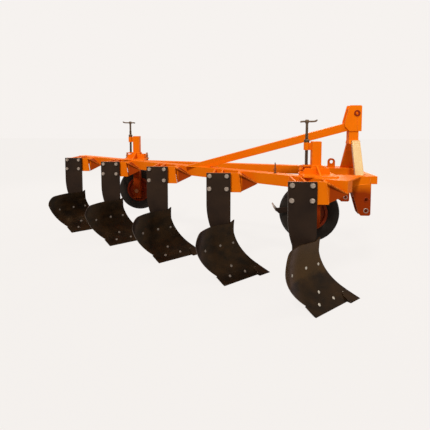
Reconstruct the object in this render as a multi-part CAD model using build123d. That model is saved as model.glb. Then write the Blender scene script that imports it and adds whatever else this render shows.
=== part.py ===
from build123d import *
import os
from math import atan2, cos, degrees, hypot, radians, sin

os.makedirs("parts", exist_ok=True)

# A mounted mouldboard plough: five right-turning bodies on a diagonal beam, in millimetres.
# It stands on its shares. +X is the way it is pulled, +Y the land side, +Z up.
# It is drawn from a point on the floor under the front corner of the first leg,
# and moved at the end so that the origin is the bottom centre of its box.

# Bodies along the beam
body_count = 5
body_step_aft = 608.0
body_step_port = 424.0

# Main beam, a rectangular tube beside the line of the legs
frame_top = 857.0
beam_width = 100.0
beam_height = 90.0
beam_wall = 8.0
beam_offset = 175.0
beam_nose = 150.0
beam_tail = 340.0

# Land-side beam, from the headstock back to the main beam
land_width = 80.0
land_wall = 6.0
land_angle = 13.6
land_front_port = 953.0

# Headstock frame: two rails between a rear cross member and a front hitch tube
rail_rear = 225.0
rail_front = 470.0
rail_width = 74.0
rail_depth_front = 60.0
rail_wall = 6.0
hitch_half_spread = 260.0
headstock_port = 610.0
cross_length = 60.0
hitch_tube_length = 54.0
corner_plate_thickness = 10.0
corner_plate_front = 400.0

# Lower-link clevises
clevis_thickness = 12.0
clevis_rear = 323.0
clevis_front = 479.0
clevis_bottom = 548.0
clevis_toe_rear = 386.0
clevis_toe_rise = 22.0
clevis_chamfer = 10.0
clevis_toe_chamfer = 20.0
clevis_web_top_drop = 90.0
link_bore = 28.8
link_bore_along = 444.0
link_bore_heights = (674.0, 588.0)

# Tower
leg_width = 66.0
leg_thickness = 30.0
leg_foot_along = 398.0
leg_top_along = 430.0
leg_top_height = 1125.0
far_leg_rear = 400.0
far_leg_length = 122.0
head_above_legs = 76.0
head_height = 216.0
head_bottom = leg_top_height + head_above_legs
head_top = head_bottom + head_height
head_rear = 382.0
head_front = 482.0
head_gap = 60.0
cheek_thickness = 12.0
cheek_gusset = 36.0
cheek_gusset_lift = 39.0
cheek_gusset_height = 39.0
cheek_gusset_low = head_bottom + cheek_gusset_lift
cheek_gusset_high = cheek_gusset_low + cheek_gusset_height
cheek_round = 12.0
head_core_length = 48.0
head_core_drop = 25.0
head_core_top = head_top - head_core_drop
neck_below_legs_top = 30.0
neck_bottom = leg_top_height - neck_below_legs_top
neck_rise = 12.0
neck_rear = 382.0
neck_front = 460.0
neck_width = 72.0
top_link_bore = 25.8
top_link_along = 443.0
top_link_drop = 66.0
top_link_height = head_top - top_link_drop

# Top brace, a square tube from the head down to the main beam
brace_width = 66.0
brace_wall = 6.0
brace_rise_in_head = 39.0
brace_head_height = head_bottom + brace_rise_in_head
brace_foot_along = -935.0
brace_foot_port = 905.0
brace_overlength = 240.0

# Lifting eye on the land-side rail
eye_along = 318.0
eye_width = 67.0
eye_thickness = 14.0
eye_centre_height = 56.0
eye_bore = 32.0

# Legs of the bodies
leg_plate_width = 200.0
leg_plate_thickness = 25.0
leg_straight_bottom = 600.0
leg_waist_height = 400.0
leg_waist_in = 34.0
leg_heel_in = 50.0
leg_bottom = 40.0
leg_toe = 170.0
leg_toe_top = 330.0

# Brackets between the main beam and the legs
bracket_thickness = 16.0
bracket_rear = 190.0
bracket_front_top = 64.0
bracket_front_bottom = 87.0
bracket_bottom = 695.0
rib_thickness = 12.0
rib_places = (-150.0, -80.0)
roof_apex_along = 221.0
roof_apex_port = 57.0
roof_thickness = 10.0
gusset_inset = 30.0
gusset_thickness = 10.0
gusset_tip = 212.0
gusset_tip_rise = 10.0

# Working surface: a cylinder along the share's edge, curling round at its tail
heel_along = -40.0
heel_port = -210.0
edge_angle = 41.0
edge_length = 477.0
board_height = 466.0
board_radius = 470.0
edge_lift_angle = 44.0
skin_thickness = 9.0
curl_radius = 280.0
curl_height = 330.0
curl_lean = 35.0
curl_arc = 80.0
share_height = 62.0
seam = 0.6
seat = 0.3
nose_reach = 30.0
nose_height = 55.0
frog_thickness = 12.0

# Landsides
landside_port = 73.0
landside_thickness = 12.0
landside_height = 130.0
landside_rear = 128.0
landside_round = 45.0
landside_front = 300.0
spacer_length = 60.0
spacer_places = (-120.0, 20.0)
spacer_low = 50.0
spacer_high = 110.0

# Depth wheels: places of the two posts, and their hub heights as parked
post_places = {
    "front": {"along": 71.0, "beyond_beam": 109.2474, "hub": 522.0, "top": 1122.0, "setback": 20.0, "turn": 12.0},
    "rear": {"along": -1724.0, "beyond_beam": 82.471, "hub": 485.0, "top": 1124.0, "setback": 2.0, "turn": 186.0},
}
post_width = 72.0
post_wall = 6.0
post_below_hub = 85.0
post_play = 0.5
axle_diameter = 30.0
axle_play = 0.05
axle_head = 14.0
axle_collar_diameter = 52.0
axle_collar_length = 10.0
hub_diameter = 64.0
hub_length = 104.0
hub_end_gap = 1.0
wheel_gap = 25.0
tyre_radius = 248.0
tyre_width = 140.0
bead_radius = 127.0
rim_wall = 6.0
flange_radius = 142.0
rim_width = 112.0
disc_thickness = 6.0
disc_inset = 30.0
tyre_shoulder_drop = 15.0
tread_corner = 10.0
bead_half_width = 48.0

# Post holders on top of the beam
shelf_thickness = 12.0
shelf_length = 260.0
shelf_starboard = 195.0
shelf_port = 50.0
sleeve_wall = 8.0
sleeve_top = 935.0
sleeve_bottom = 777.0
fin_thickness = 12.0
fin_reach = 120.0
lug_thickness = 12.0

# Screw adjusters
screw_setback = 74.0
screw_diameter = 26.0
screw_play = 0.5
shank_diameter = 21.0
handle_rise = 156.0
handle_end_drop = 8.0
shank_length = 87.0
handle_height = max(place["top"] for place in post_places.values()) + handle_rise
screw_top = handle_height - handle_end_drop
shank_bottom = screw_top - shank_length
handle_diameter = 14.0
handle_reaches = (-56.0, 86.0)
handle_boss = 30.0
ear_diameter = 46.0
ear_height = 58.0
ear_drop = 10.0
ear_thickness = 26.0
nut_diameter = 38.0
nut_height = 26.0

overrun = 40.0

frame_bottom = frame_top - beam_height
rail_bottom_front = frame_top - rail_depth_front
step_length = hypot(body_step_aft, body_step_port)
beam_angle = degrees(atan2(body_step_port, body_step_aft))
along_beam = Rot(0, 0, -beam_angle)
beam_far = beam_offset + beam_width


def spanBox(x_span, y_span, z_span):
    size = [high - low for low, high in (x_span, y_span, z_span)]
    middle = [(high + low) / 2 for low, high in (x_span, y_span, z_span)]
    return Pos(*middle) * Box(*size)


def uprightPlate(points, y_low, thickness):
    outline = make_face(Polyline(*[(x, 0, z) for x, z in points], close=True))
    return Pos(0, y_low, 0) * extrude(outline, amount=thickness, dir=(0, 1, 0))


def crossPlate(points, x_low, thickness):
    outline = make_face(Polyline(*[(0, y, z) for y, z in points], close=True))
    return Pos(x_low, 0, 0) * extrude(outline, amount=thickness, dir=(1, 0, 0))


def flatPlate(points, z_low, thickness):
    outline = make_face(Polyline(*[(x, y, 0) for x, y in points], close=True))
    return Pos(0, 0, z_low) * extrude(outline, amount=thickness, dir=(0, 0, 1))


def rod(start, end, diameter):
    way = Vector(*end) - Vector(*start)
    return Plane(origin=start, z_dir=way) * extrude(Circle(diameter / 2), way.length)


def beamPort(offset, x):
    """Port distance at x of a line parallel to the beam, at this offset from the legs' line."""
    turn = radians(beam_angle)
    return (offset - x * sin(turn)) / cos(turn)


# Each post stands at its own distance port of the beam's far face
for place in post_places.values():
    place["port"] = beamPort(beam_far, place["along"]) + place["beyond_beam"]

# Regions used to trim what meets the beams
reach = body_count * step_length
starboard_of_beam_far = along_beam * spanBox((-reach, reach), (-reach, beam_far), (0, head_top))
port_of_beam_near = along_beam * spanBox((-reach, reach), (beam_offset, reach), (0, head_top))
land_origin = (rail_front, land_front_port, 0)
along_land = Pos(*land_origin) * Rot(0, 0, -land_angle)
port_of_land_near = along_land * spanBox((-reach, reach), (-land_width / 2, reach), (0, head_top))


def mainBeam():
    x_span = (-(step_length * (body_count - 1) + beam_tail), beam_nose)
    outer = spanBox(x_span, (beam_offset, beam_far), (frame_bottom, frame_top))
    inner = spanBox(
        (x_span[0] - overrun, x_span[1] - beam_wall),
        (beam_offset + beam_wall, beam_far - beam_wall),
        (frame_bottom + beam_wall, frame_top - beam_wall),
    )
    return along_beam * (outer - inner)


def landBeam():
    half = land_width / 2
    z_span = (frame_top - land_width, frame_top)
    outer = spanBox((-reach, overrun), (-half, half), z_span)
    inner = spanBox(
        (-reach - overrun, 2 * overrun),
        (-half + land_wall, half - land_wall),
        (z_span[0] + land_wall, z_span[1] - land_wall),
    )
    ahead = spanBox((rail_front, reach), (-reach, reach), (0, head_top))
    return along_land * (outer - inner) - ahead - starboard_of_beam_far


def rearCrossMember():
    x_span = (rail_rear - cross_length, rail_rear)
    z_span = (frame_top - cross_length, frame_top)
    outer = spanBox(x_span, (0, land_front_port + reach), z_span)
    inner = spanBox(
        (x_span[0] + rail_wall, x_span[1] - rail_wall),
        (-overrun, land_front_port + reach + overrun),
        (z_span[0] + rail_wall, z_span[1] - rail_wall),
    )
    return outer - inner - starboard_of_beam_far - port_of_land_near


def frontHitchTube():
    y_low = headstock_port - hitch_half_spread - rail_width / 2
    y_high = land_front_port + land_width / 2
    z_span = (rail_bottom_front, frame_top)
    outer = spanBox((rail_front, rail_front + hitch_tube_length), (y_low, y_high), z_span)
    inner = spanBox(
        (rail_front + rail_wall, rail_front + hitch_tube_length - rail_wall),
        (y_low + rail_wall, y_high + overrun),
        (z_span[0] + rail_wall, z_span[1] - rail_wall),
    )
    return outer - inner


def railBottom(x):
    share = (x - rail_rear) / (rail_front - rail_rear)
    return frame_bottom + share * (rail_bottom_front - frame_bottom)


def rail(port):
    y_low = port - rail_width / 2
    outline = [
        (rail_rear, frame_bottom),
        (rail_front, rail_bottom_front),
        (rail_front, frame_top),
        (rail_rear, frame_top),
    ]
    inside = [
        (rail_rear - overrun, railBottom(rail_rear - overrun) + rail_wall),
        (rail_front + overrun, railBottom(rail_front + overrun) + rail_wall),
        (rail_front + overrun, frame_top - rail_wall),
        (rail_rear - overrun, frame_top - rail_wall),
    ]
    outer = uprightPlate(outline, y_low, rail_width)
    return outer - uprightPlate(inside, y_low + rail_wall, rail_width - 2 * rail_wall)


def cornerPlate():
    y_high = headstock_port - hitch_half_spread - rail_width / 2
    turn = radians(beam_angle)
    nose = (
        beam_nose * cos(turn) + beam_far * sin(turn),
        -beam_nose * sin(turn) + beam_far * cos(turn),
    )
    outline = [
        (rail_rear, beamPort(beam_far, rail_rear)),
        nose,
        (corner_plate_front, y_high),
        (rail_rear, y_high),
    ]
    return flatPlate(outline, frame_top - corner_plate_thickness, corner_plate_thickness)


def hitchBracket(port):
    outline = [
        (clevis_rear, railBottom(clevis_rear)),
        (rail_front, rail_bottom_front),
        (clevis_front, rail_bottom_front),
        (clevis_front, clevis_bottom + clevis_chamfer),
        (clevis_front - clevis_chamfer, clevis_bottom),
        (clevis_toe_rear + clevis_toe_chamfer, clevis_bottom),
        (clevis_toe_rear, clevis_bottom + clevis_toe_rise),
    ]
    y_low = port - rail_width / 2
    y_high = port + rail_width / 2
    bracket = uprightPlate(outline, y_low, clevis_thickness)
    bracket += uprightPlate(outline, y_high - clevis_thickness, clevis_thickness)
    web_bottom = railBottom(clevis_rear) - clevis_web_top_drop
    fall = railBottom(clevis_rear) - clevis_bottom - clevis_toe_rise
    slope = (clevis_toe_rear - clevis_rear) / fall
    web = [
        (clevis_rear, railBottom(clevis_rear)),
        (clevis_rear + clevis_thickness, railBottom(clevis_rear + clevis_thickness)),
        (clevis_rear + clevis_thickness + slope * clevis_web_top_drop, web_bottom),
        (clevis_rear + slope * clevis_web_top_drop, web_bottom),
    ]
    bracket += uprightPlate(web, y_low, rail_width)
    for height in link_bore_heights:
        start = (link_bore_along, y_low - overrun, height)
        end = (link_bore_along, y_high + overrun, height)
        bracket -= rod(start, end, link_bore)
    return bracket


neck_half = neck_width / 2
leg_lean = (hitch_half_spread - neck_half - leg_thickness / 2) / (leg_top_height - frame_top)


def towerLeg(side, foot_rear, foot_length):
    """One leg, from its rail's top to the flank of the head's neck."""
    foot_port = headstock_port + side * hitch_half_spread
    foot = Pos(foot_rear + foot_length / 2, foot_port, frame_top)
    top = Pos(leg_top_along, headstock_port + side * (neck_half + leg_thickness / 2), leg_top_height)
    foot_face = foot * Rectangle(foot_length, leg_thickness)
    top_face = top * Rectangle(leg_width, leg_thickness)
    return loft([foot_face, top_face], ruled=True)


def towerHead():
    cheek = [
        (head_rear, head_top),
        (head_front, head_top),
        (head_front, head_bottom),
        (head_rear, head_bottom),
        (head_rear - cheek_gusset, cheek_gusset_low),
        (head_rear - cheek_gusset, cheek_gusset_high),
    ]
    head = None
    for y_low in (headstock_port - head_gap / 2 - cheek_thickness, headstock_port + head_gap / 2):
        plate = uprightPlate(cheek, y_low, cheek_thickness)
        tops = plate.edges().filter_by(Axis.Y).group_by(Axis.Z)[-1]
        plate = fillet(tops, cheek_round)
        head = plate if head is None else head + plate
    core_x = (head_rear, head_rear + head_core_length)
    half = head_gap / 2
    y_span = (headstock_port - half, headstock_port + half)
    head += spanBox(core_x, y_span, (head_bottom, head_core_top))
    head += spanBox((neck_rear, neck_front), y_span, (head_bottom, head_bottom + neck_rise))
    spread = neck_half + leg_lean * (leg_top_height - neck_bottom)
    neck = [
        (headstock_port - neck_half, head_bottom),
        (headstock_port + neck_half, head_bottom),
        (headstock_port + neck_half, leg_top_height),
        (headstock_port + spread, neck_bottom),
        (headstock_port - spread, neck_bottom),
        (headstock_port - neck_half, leg_top_height),
    ]
    head += crossPlate(neck, neck_rear, neck_front - neck_rear)
    start = (top_link_along, headstock_port - head_gap - overrun, top_link_height)
    end = (top_link_along, headstock_port + head_gap + overrun, top_link_height)
    return head - rod(start, end, top_link_bore)


def topBrace(head):
    start = Vector(head_rear, headstock_port, brace_head_height)
    way = Vector(brace_foot_along, brace_foot_port, frame_top) - start
    placed = Plane(origin=start, x_dir=way, z_dir=way.cross(Vector(0, 1, 0)))
    half = brace_width / 2
    span = (-half, half)
    inner_span = (-half + brace_wall, half - brace_wall)
    past_foot = way.length + brace_overlength
    outer = spanBox((-overrun, past_foot), span, span)
    inner = spanBox((-2 * overrun, past_foot + overrun), inner_span, inner_span)
    brace = placed * (outer - inner)
    brace -= spanBox((brace_foot_along - reach, reach), (-reach, reach), (0, frame_top))
    brace -= spanBox((head_rear, reach), (-reach, reach), (0, 2 * head_top))
    return brace - head


def liftingEye():
    port = headstock_port + hitch_half_spread
    centre = frame_top + eye_centre_height
    x_span = (eye_along - eye_width / 2, eye_along + eye_width / 2)
    y_span = (port - eye_thickness / 2, port + eye_thickness / 2)
    eye = spanBox(x_span, y_span, (frame_top, centre))
    eye += rod((eye_along, y_span[0], centre), (eye_along, y_span[1], centre), eye_width)
    start = (eye_along, y_span[0] - overrun, centre)
    return eye - rod(start, (eye_along, y_span[1] + overrun, centre), eye_bore)


# The share frame: x along the cutting edge from its heel, y to the back, z up
share_frame = Pos(heel_along, heel_port, 0) * Rot(0, 0, edge_angle)
lift = radians(edge_lift_angle)
surface_axis_y = -board_radius * sin(lift)
surface_axis_z = board_radius * cos(lift)


def surfaceRegion(radius):
    """All that lies ahead of the working surface, set back by radius, in the share frame."""
    start = (-2 * edge_length, surface_axis_y, surface_axis_z)
    end = (2 * edge_length, surface_axis_y, surface_axis_z)
    return rod(start, end, 2 * radius)


def skin(inner_offset, thickness):
    """A curved sheet on the working surface, from inner_offset behind it, in the share frame."""
    centre = Plane.YZ * Pos(surface_axis_y, surface_axis_z)
    inner_radius = board_radius + inner_offset
    ring = centre * (Circle(inner_radius + thickness) - Circle(inner_radius))
    window = Plane.YZ * Pos(board_radius / 2 - 2 * overrun, board_height / 2)
    ring = ring & (window * Rectangle(board_radius, board_height + 2 * overrun))
    lean = radians(curl_lean)
    back = board_radius + surface_axis_y
    axis_y = back - curl_radius * cos(lean)
    axis_z = curl_height + curl_radius * sin(lean)
    curl_axis = Axis((0, axis_y, axis_z), (0, sin(lean), cos(lean)))
    straight = extrude(ring, amount=edge_length + overrun, dir=(1, 0, 0))
    return straight + revolve(ring, curl_axis, curl_arc)


def boardPoint(point):
    return (point[0] * edge_length, 0, point[1] * board_height)


def cutOut(edges):
    """A prism across the working surface, over an outline in the share frame."""
    outline = make_face(edges)
    prism = extrude(outline, amount=board_radius, dir=(0, 1, 0))
    return prism + extrude(outline, amount=board_radius, dir=(0, -1, 0))


# Outlines of the share and the mouldboard, as shares of the edge's length and the board's height
share_heel_share = -0.078
share_toe_share = 0.868
nose_back_share = 0.742
foot_share = (share_height + seam) / board_height
board_share = {
    "heel": (-0.055, foot_share),
    "heel_to_tail": (-0.335, 0.440),
    "tail": (-0.478, 0.730),
    "round_the_tail": (-0.450, 0.845),
    "crown": (-0.340, 0.930),
    "top": (-0.010, 0.957),
    "dip": (0.340, 0.945),
    "horn": (0.430, 1.0),
    "brow": (0.450, 0.765),
    "down_the_shin": (0.640, 0.378),
    "foot": (share_toe_share, foot_share),
}
shin_share = {
    "top_back": (0.290, 0.755),
    "top_front": (0.600, 0.755),
    "low_front": (0.800, 0.400),
    "low_back": (0.440, 0.400),
}
frog_share = (
    (0.145, 0.050),
    (0.775, 0.050),
    (0.660, 0.300),
    (0.450, 0.620),
    (-0.250, 0.620),
    (-0.250, 0.515),
    (0.145, 0.450),
)


def mouldboard():
    at = {name: boardPoint(point) for name, point in board_share.items()}
    outline = [
        ThreePointArc(at["heel"], at["heel_to_tail"], at["tail"]),
        ThreePointArc(at["tail"], at["round_the_tail"], at["crown"]),
        Polyline(at["crown"], at["top"], at["dip"], at["horn"], at["brow"]),
        ThreePointArc(at["brow"], at["down_the_shin"], at["foot"]),
        Line(at["foot"], at["heel"]),
    ]
    board = skin(0, skin_thickness) & cutOut(outline)
    corner = {name: boardPoint(point) for name, point in shin_share.items()}
    shin_outline = Polyline(*corner.values(), close=True)
    shin_cut = cutOut([shin_outline])
    shin = board & shin_cut
    wide = offset(make_face(shin_outline), seam)
    gap = extrude(wide, amount=board_radius, dir=(0, 1, 0), both=True)
    return Compound(children=(board - gap).solids() + shin.solids())


def surfaceBack(height):
    """How far back the working surface lies at a height, in the share frame."""
    return surface_axis_y + (board_radius**2 - (height - surface_axis_z) ** 2) ** 0.5


def share():
    top_heel = (share_heel_share * edge_length, 0, share_height)
    top_toe = (share_toe_share * edge_length, 0, share_height)
    outline = Polyline((0, 0, 0), (edge_length, 0, 0), top_toe, top_heel, close=True)
    blade = skin(0, skin_thickness) & cutOut([outline])
    wedge = crossPlate(
        [(-nose_reach, 0), (surfaceBack(0) + seam, 0), (surfaceBack(nose_height) + seam, nose_height)],
        nose_back_share * edge_length,
        edge_length,
    )
    end_slope = [
        (nose_back_share * edge_length, 0),
        (edge_length, 0),
        (top_toe[0], share_height),
        (nose_back_share * edge_length, share_height),
    ]
    wedge = wedge & uprightPlate(end_slope, -reach, 2 * reach)
    return share_frame * (blade + wedge)


def frogPlate():
    outline = Polyline(*[boardPoint(point) for point in frog_share], close=True)
    return skin(skin_thickness + seat, frog_thickness) & cutOut([outline])


def stand():
    rear = -leg_plate_width
    outline = [
        Line((0, 0, frame_top), (rear, 0, frame_top)),
        Line((rear, 0, frame_top), (rear, 0, leg_straight_bottom)),
        ThreePointArc(
            (rear, 0, leg_straight_bottom),
            (rear + leg_waist_in / 4, 0, (leg_straight_bottom + leg_waist_height) / 2),
            (rear + leg_waist_in, 0, leg_waist_height),
        ),
        Polyline(
            (rear + leg_waist_in, 0, leg_waist_height),
            (rear + leg_heel_in, 0, leg_bottom),
            (leg_toe, 0, leg_bottom),
            (0, 0, leg_toe_top),
            (0, 0, frame_top),
        ),
    ]
    plate = extrude(make_face(outline), amount=leg_plate_thickness, dir=(0, 1, 0))
    for x_low in spacer_places:
        x_span = (x_low, x_low + spacer_length)
        plate += spanBox(x_span, (leg_plate_thickness, landside_port), (spacer_low, spacer_high))
    plate -= share_frame * surfaceRegion(board_radius + skin_thickness + seat)
    beyond = spanBox((-reach, reach), (landside_port, reach), (0, frame_top))
    return plate + (share_frame * frogPlate() - beyond)


def landside():
    outline = [
        (-landside_rear, 0),
        (landside_front, 0),
        (leg_toe, landside_height),
        (-landside_rear, landside_height),
    ]
    bar = uprightPlate(outline, landside_port, landside_thickness)
    heel = bar.edges().filter_by(Axis.Y).group_by(Axis.X)[0].group_by(Axis.Z)[-1]
    bar = fillet(heel, landside_round)
    return bar - share_frame * surfaceRegion(board_radius + skin_thickness + seat)


def bracket():
    side = [
        (-bracket_rear, frame_top),
        (bracket_front_top, frame_top),
        (bracket_front_bottom, bracket_bottom),
        (-bracket_rear, bracket_bottom),
    ]
    piece = uprightPlate(side, leg_plate_thickness, bracket_thickness)
    inside = leg_plate_thickness + bracket_thickness
    for x_low in rib_places:
        y_far = beamPort(beam_offset, x_low) + overrun
        rib = [(inside, frame_top), (y_far, frame_top), (y_far, frame_bottom), (inside, bracket_bottom)]
        piece += crossPlate(rib, x_low, rib_thickness)
    roof_plan = [
        (bracket_front_top, leg_plate_thickness),
        (roof_apex_along, roof_apex_port),
        (bracket_front_top, beamPort(beam_offset, bracket_front_top) + overrun),
    ]
    slope = [
        (bracket_front_top, frame_top),
        (roof_apex_along, frame_bottom),
        (roof_apex_along, frame_bottom - roof_thickness),
        (bracket_front_top, frame_top - roof_thickness),
    ]
    roof = flatPlate(roof_plan, bracket_bottom, beam_height * 2) & uprightPlate(slope, 0, reach)
    piece += roof
    gusset = [
        (bracket_front_top, frame_top - roof_thickness),
        (gusset_tip, frame_bottom),
        (gusset_tip, frame_bottom - gusset_tip_rise),
        (bracket_front_bottom, bracket_bottom),
    ]
    piece += uprightPlate(gusset, leg_plate_thickness + gusset_inset, gusset_thickness)
    piece += spanBox(
        (bracket_front_top - rib_thickness, bracket_front_top),
        (leg_plate_thickness, leg_plate_thickness + gusset_inset + gusset_thickness),
        (bracket_bottom, frame_top),
    )
    return piece - port_of_beam_near


def ring(points_and_arcs):
    """A turned piece about the Y axis, from an outline of radius and place along it."""
    return revolve(make_face(points_and_arcs), Axis.Y, 360)


def wheelPlace(place):
    port = place["port"] + post_width / 2 + wheel_gap + tyre_width / 2
    return (place["along"] - place["setback"], port, place["hub"])


def tyre(place):
    half = tyre_width / 2
    wall_radius = (tyre_radius + flange_radius) / 2
    shoulder = tyre_radius - tyre_shoulder_drop
    tread_half = half - tread_corner
    bead = bead_radius + seat
    inside_flange = flange_radius + seat
    outline = [
        Polyline((inside_flange, -bead_half_width), (bead, -bead_half_width), (bead, bead_half_width)),
        Line((bead, bead_half_width), (inside_flange, bead_half_width)),
        ThreePointArc((inside_flange, bead_half_width), (wall_radius, half), (shoulder, tread_half)),
        ThreePointArc((shoulder, tread_half), (tyre_radius, 0), (shoulder, -tread_half)),
        ThreePointArc((shoulder, -tread_half), (wall_radius, -half), (inside_flange, -bead_half_width)),
    ]
    return Pos(*wheelPlace(place)) * ring(outline)


def wheelRim(place):
    half = rim_width / 2
    barrel = bead_radius - rim_wall
    outline = [
        (flange_radius, -half),
        (barrel, -half),
        (barrel, half),
        (flange_radius, half),
        (flange_radius, half - rim_wall),
        (bead_radius, half - rim_wall),
        (bead_radius, -half + rim_wall),
        (flange_radius, -half + rim_wall),
    ]
    rim = ring(Polyline(*outline, close=True))
    hub_half = hub_length / 2
    hub_radius = hub_diameter / 2
    bore_radius = axle_diameter / 2 + axle_play
    hub = [
        (bore_radius, -hub_half),
        (hub_radius, -hub_half),
        (hub_radius, -disc_inset),
        (barrel + rim_wall / 2, -disc_inset - disc_thickness),
        (barrel + rim_wall / 2, -disc_inset),
        (hub_radius, -disc_inset + disc_thickness),
        (hub_radius, hub_half),
        (bore_radius, hub_half),
    ]
    return Pos(*wheelPlace(place)) * (rim + ring(Polyline(*hub, close=True)))


def post(place):
    along, port = place["along"], place["port"]
    half = post_width / 2
    z_span = (place["hub"] - post_below_hub, place["top"])
    outer = spanBox((along - half, along + half), (port - half, port + half), z_span)
    inner_half = half - post_wall
    inner = spanBox(
        (along - inner_half, along + inner_half),
        (port - inner_half, port + inner_half),
        (z_span[0] - overrun, z_span[1] - post_wall),
    )
    piece = outer - inner
    wheel_x, wheel_y, wheel_z = wheelPlace(place)
    hub_half = hub_length / 2 + hub_end_gap
    ends = (port - half - axle_head, wheel_y + hub_half + axle_collar_length)
    piece += rod((wheel_x, ends[0], wheel_z), (wheel_x, ends[1], wheel_z), axle_diameter)
    for low, high in ((port + half, wheel_y - hub_half), (wheel_y + hub_half, ends[1])):
        piece += rod((wheel_x, low, wheel_z), (wheel_x, high, wheel_z), axle_collar_diameter)
    ear_x = along - screw_setback
    ear_high = z_span[1] - ear_drop
    ear_low = ear_high - ear_height
    ear_y = (port - ear_thickness / 2, port + ear_thickness / 2)
    piece += spanBox((ear_x, along - half), ear_y, (ear_low, ear_high))
    piece += rod((ear_x, port, ear_low), (ear_x, port, ear_high), ear_diameter)
    piece += rod((ear_x, port, ear_high), (ear_x, port, ear_high + nut_height), nut_diameter)
    start = (ear_x, port, ear_low - overrun)
    end = (ear_x, port, ear_high + nut_height + overrun)
    return piece - rod(start, end, screw_diameter + 2 * screw_play)


def holder(place):
    along, port = place["along"], place["port"]
    x_span = (along - shelf_length / 2, along + shelf_length / 2)
    y_span = (port - shelf_starboard, port + shelf_port)
    shelf = spanBox(x_span, y_span, (frame_top, frame_top + shelf_thickness))
    hole_half = post_width / 2 + post_play
    wall_half = hole_half + sleeve_wall
    sleeve = spanBox(
        (along - wall_half, along + wall_half),
        (port - wall_half, port + wall_half),
        (sleeve_bottom, sleeve_top),
    )
    fin = [
        (along - fin_reach, frame_top + shelf_thickness),
        (along + fin_reach, frame_top + shelf_thickness),
        (along + wall_half, sleeve_top),
        (along - wall_half, sleeve_top),
    ]
    fins = uprightPlate(fin, port - fin_thickness / 2, fin_thickness)
    keel = [
        (port - shelf_starboard, frame_top + shelf_thickness),
        (port, frame_top + shelf_thickness),
        (port, sleeve_top),
        (port - wall_half, sleeve_top),
    ]
    fins += crossPlate(keel, along - fin_thickness / 2, fin_thickness)
    lug_half = screw_diameter
    lug_x = along - screw_setback
    lug = spanBox(
        (lug_x - lug_half, along - hole_half),
        (port - lug_half, port + lug_half),
        (sleeve_top - lug_thickness, sleeve_top),
    )
    bore = spanBox(
        (along - hole_half, along + hole_half),
        (port - hole_half, port + hole_half),
        (sleeve_bottom - overrun, sleeve_top + overrun),
    )
    return shelf + sleeve + fins + lug - bore


def screw(place):
    along, port = place["along"], place["port"]
    x = along - screw_setback
    piece = rod((x, port, sleeve_top), (x, port, shank_bottom), screw_diameter)
    piece += rod((x, port, shank_bottom), (x, port, screw_top), shank_diameter)
    boss_half = handle_boss / 2
    piece += rod((x, port, handle_height - boss_half), (x, port, handle_height + boss_half), handle_boss)
    turn = radians(place["turn"])
    ends = [(x + cos(turn) * far, port + sin(turn) * far, handle_height) for far in handle_reaches]
    return piece + rod(ends[0], ends[1], handle_diameter)


def buildAll():
    right_port = headstock_port - hitch_half_spread
    left_port = headstock_port + hitch_half_spread
    head = towerHead()
    pieces = {
        "main_beam": mainBeam(),
        "land_beam": landBeam(),
        "rear_cross_member": rearCrossMember(),
        "front_hitch_tube": frontHitchTube(),
        "rail_right": rail(right_port),
        "rail_left": rail(left_port),
        "corner_plate": cornerPlate(),
        "hitch_bracket_right": hitchBracket(right_port),
        "hitch_bracket_left": hitchBracket(left_port),
        "tower_leg_right": towerLeg(-1, leg_foot_along - leg_width / 2, leg_width),
        "tower_leg_left": towerLeg(1, far_leg_rear, far_leg_length),
        "tower_head": head,
        "top_brace": topBrace(head),
        "lifting_eye": liftingEye(),
    }
    for name, place in post_places.items():
        pieces[f"holder_{name}"] = holder(place)
        pieces[f"post_{name}"] = post(place)
        pieces[f"rim_{name}"] = wheelRim(place)
        pieces[f"tyre_{name}"] = tyre(place)
        pieces[f"screw_{name}"] = screw(place)
    body = {
        "bracket": bracket(),
        "leg": stand(),
        "mouldboard": share_frame * mouldboard(),
        "share": share(),
        "landside": landside(),
    }
    for number in range(body_count):
        place = Pos(-body_step_aft * number, body_step_port * number, 0)
        for name, piece in body.items():
            pieces[f"{name}_{number + 1}"] = place * piece
    return pieces


pieces = buildAll()
boxes = [piece.bounding_box() for piece in pieces.values()]
lowest = [min(getattr(box.min, axis) for box in boxes) for axis in "XYZ"]
highest = [max(getattr(box.max, axis) for box in boxes) for axis in "XYZ"]
to_origin = (-(lowest[0] + highest[0]) / 2, -(lowest[1] + highest[1]) / 2, 0)
for name, piece in pieces.items():
    export_step(piece.moved(Location(to_origin)), f"parts/{name}.step")

print("box", [round(high - low) for low, high in zip(lowest, highest)], "lowest", round(lowest[2], 3))
print("shift", [round(value, 3) for value in to_origin])
for name, place in post_places.items():
    spot = [value + shift for value, shift in zip(wheelPlace(place), to_origin)]
    print("hub", name, [round(value, 3) for value in spot])
for side in (-1, 1):
    for height in link_bore_heights:
        spot = (link_bore_along, headstock_port + side * hitch_half_spread, height)
        print("lower link", [round(v + s, 3) for v, s in zip(spot, to_origin)])
spot = (top_link_along, headstock_port, top_link_height)
print("top link", [round(v + s, 3) for v, s in zip(spot, to_origin)])
spot = (eye_along, headstock_port + hitch_half_spread, frame_top + eye_centre_height)
print("eye", [round(v + s, 3) for v, s in zip(spot, to_origin)])
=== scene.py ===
import random
import bmesh
import bpy
from math import atan2, cos, pi, radians, sin, sqrt, tan
from mathutils import Matrix, Vector


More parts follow.
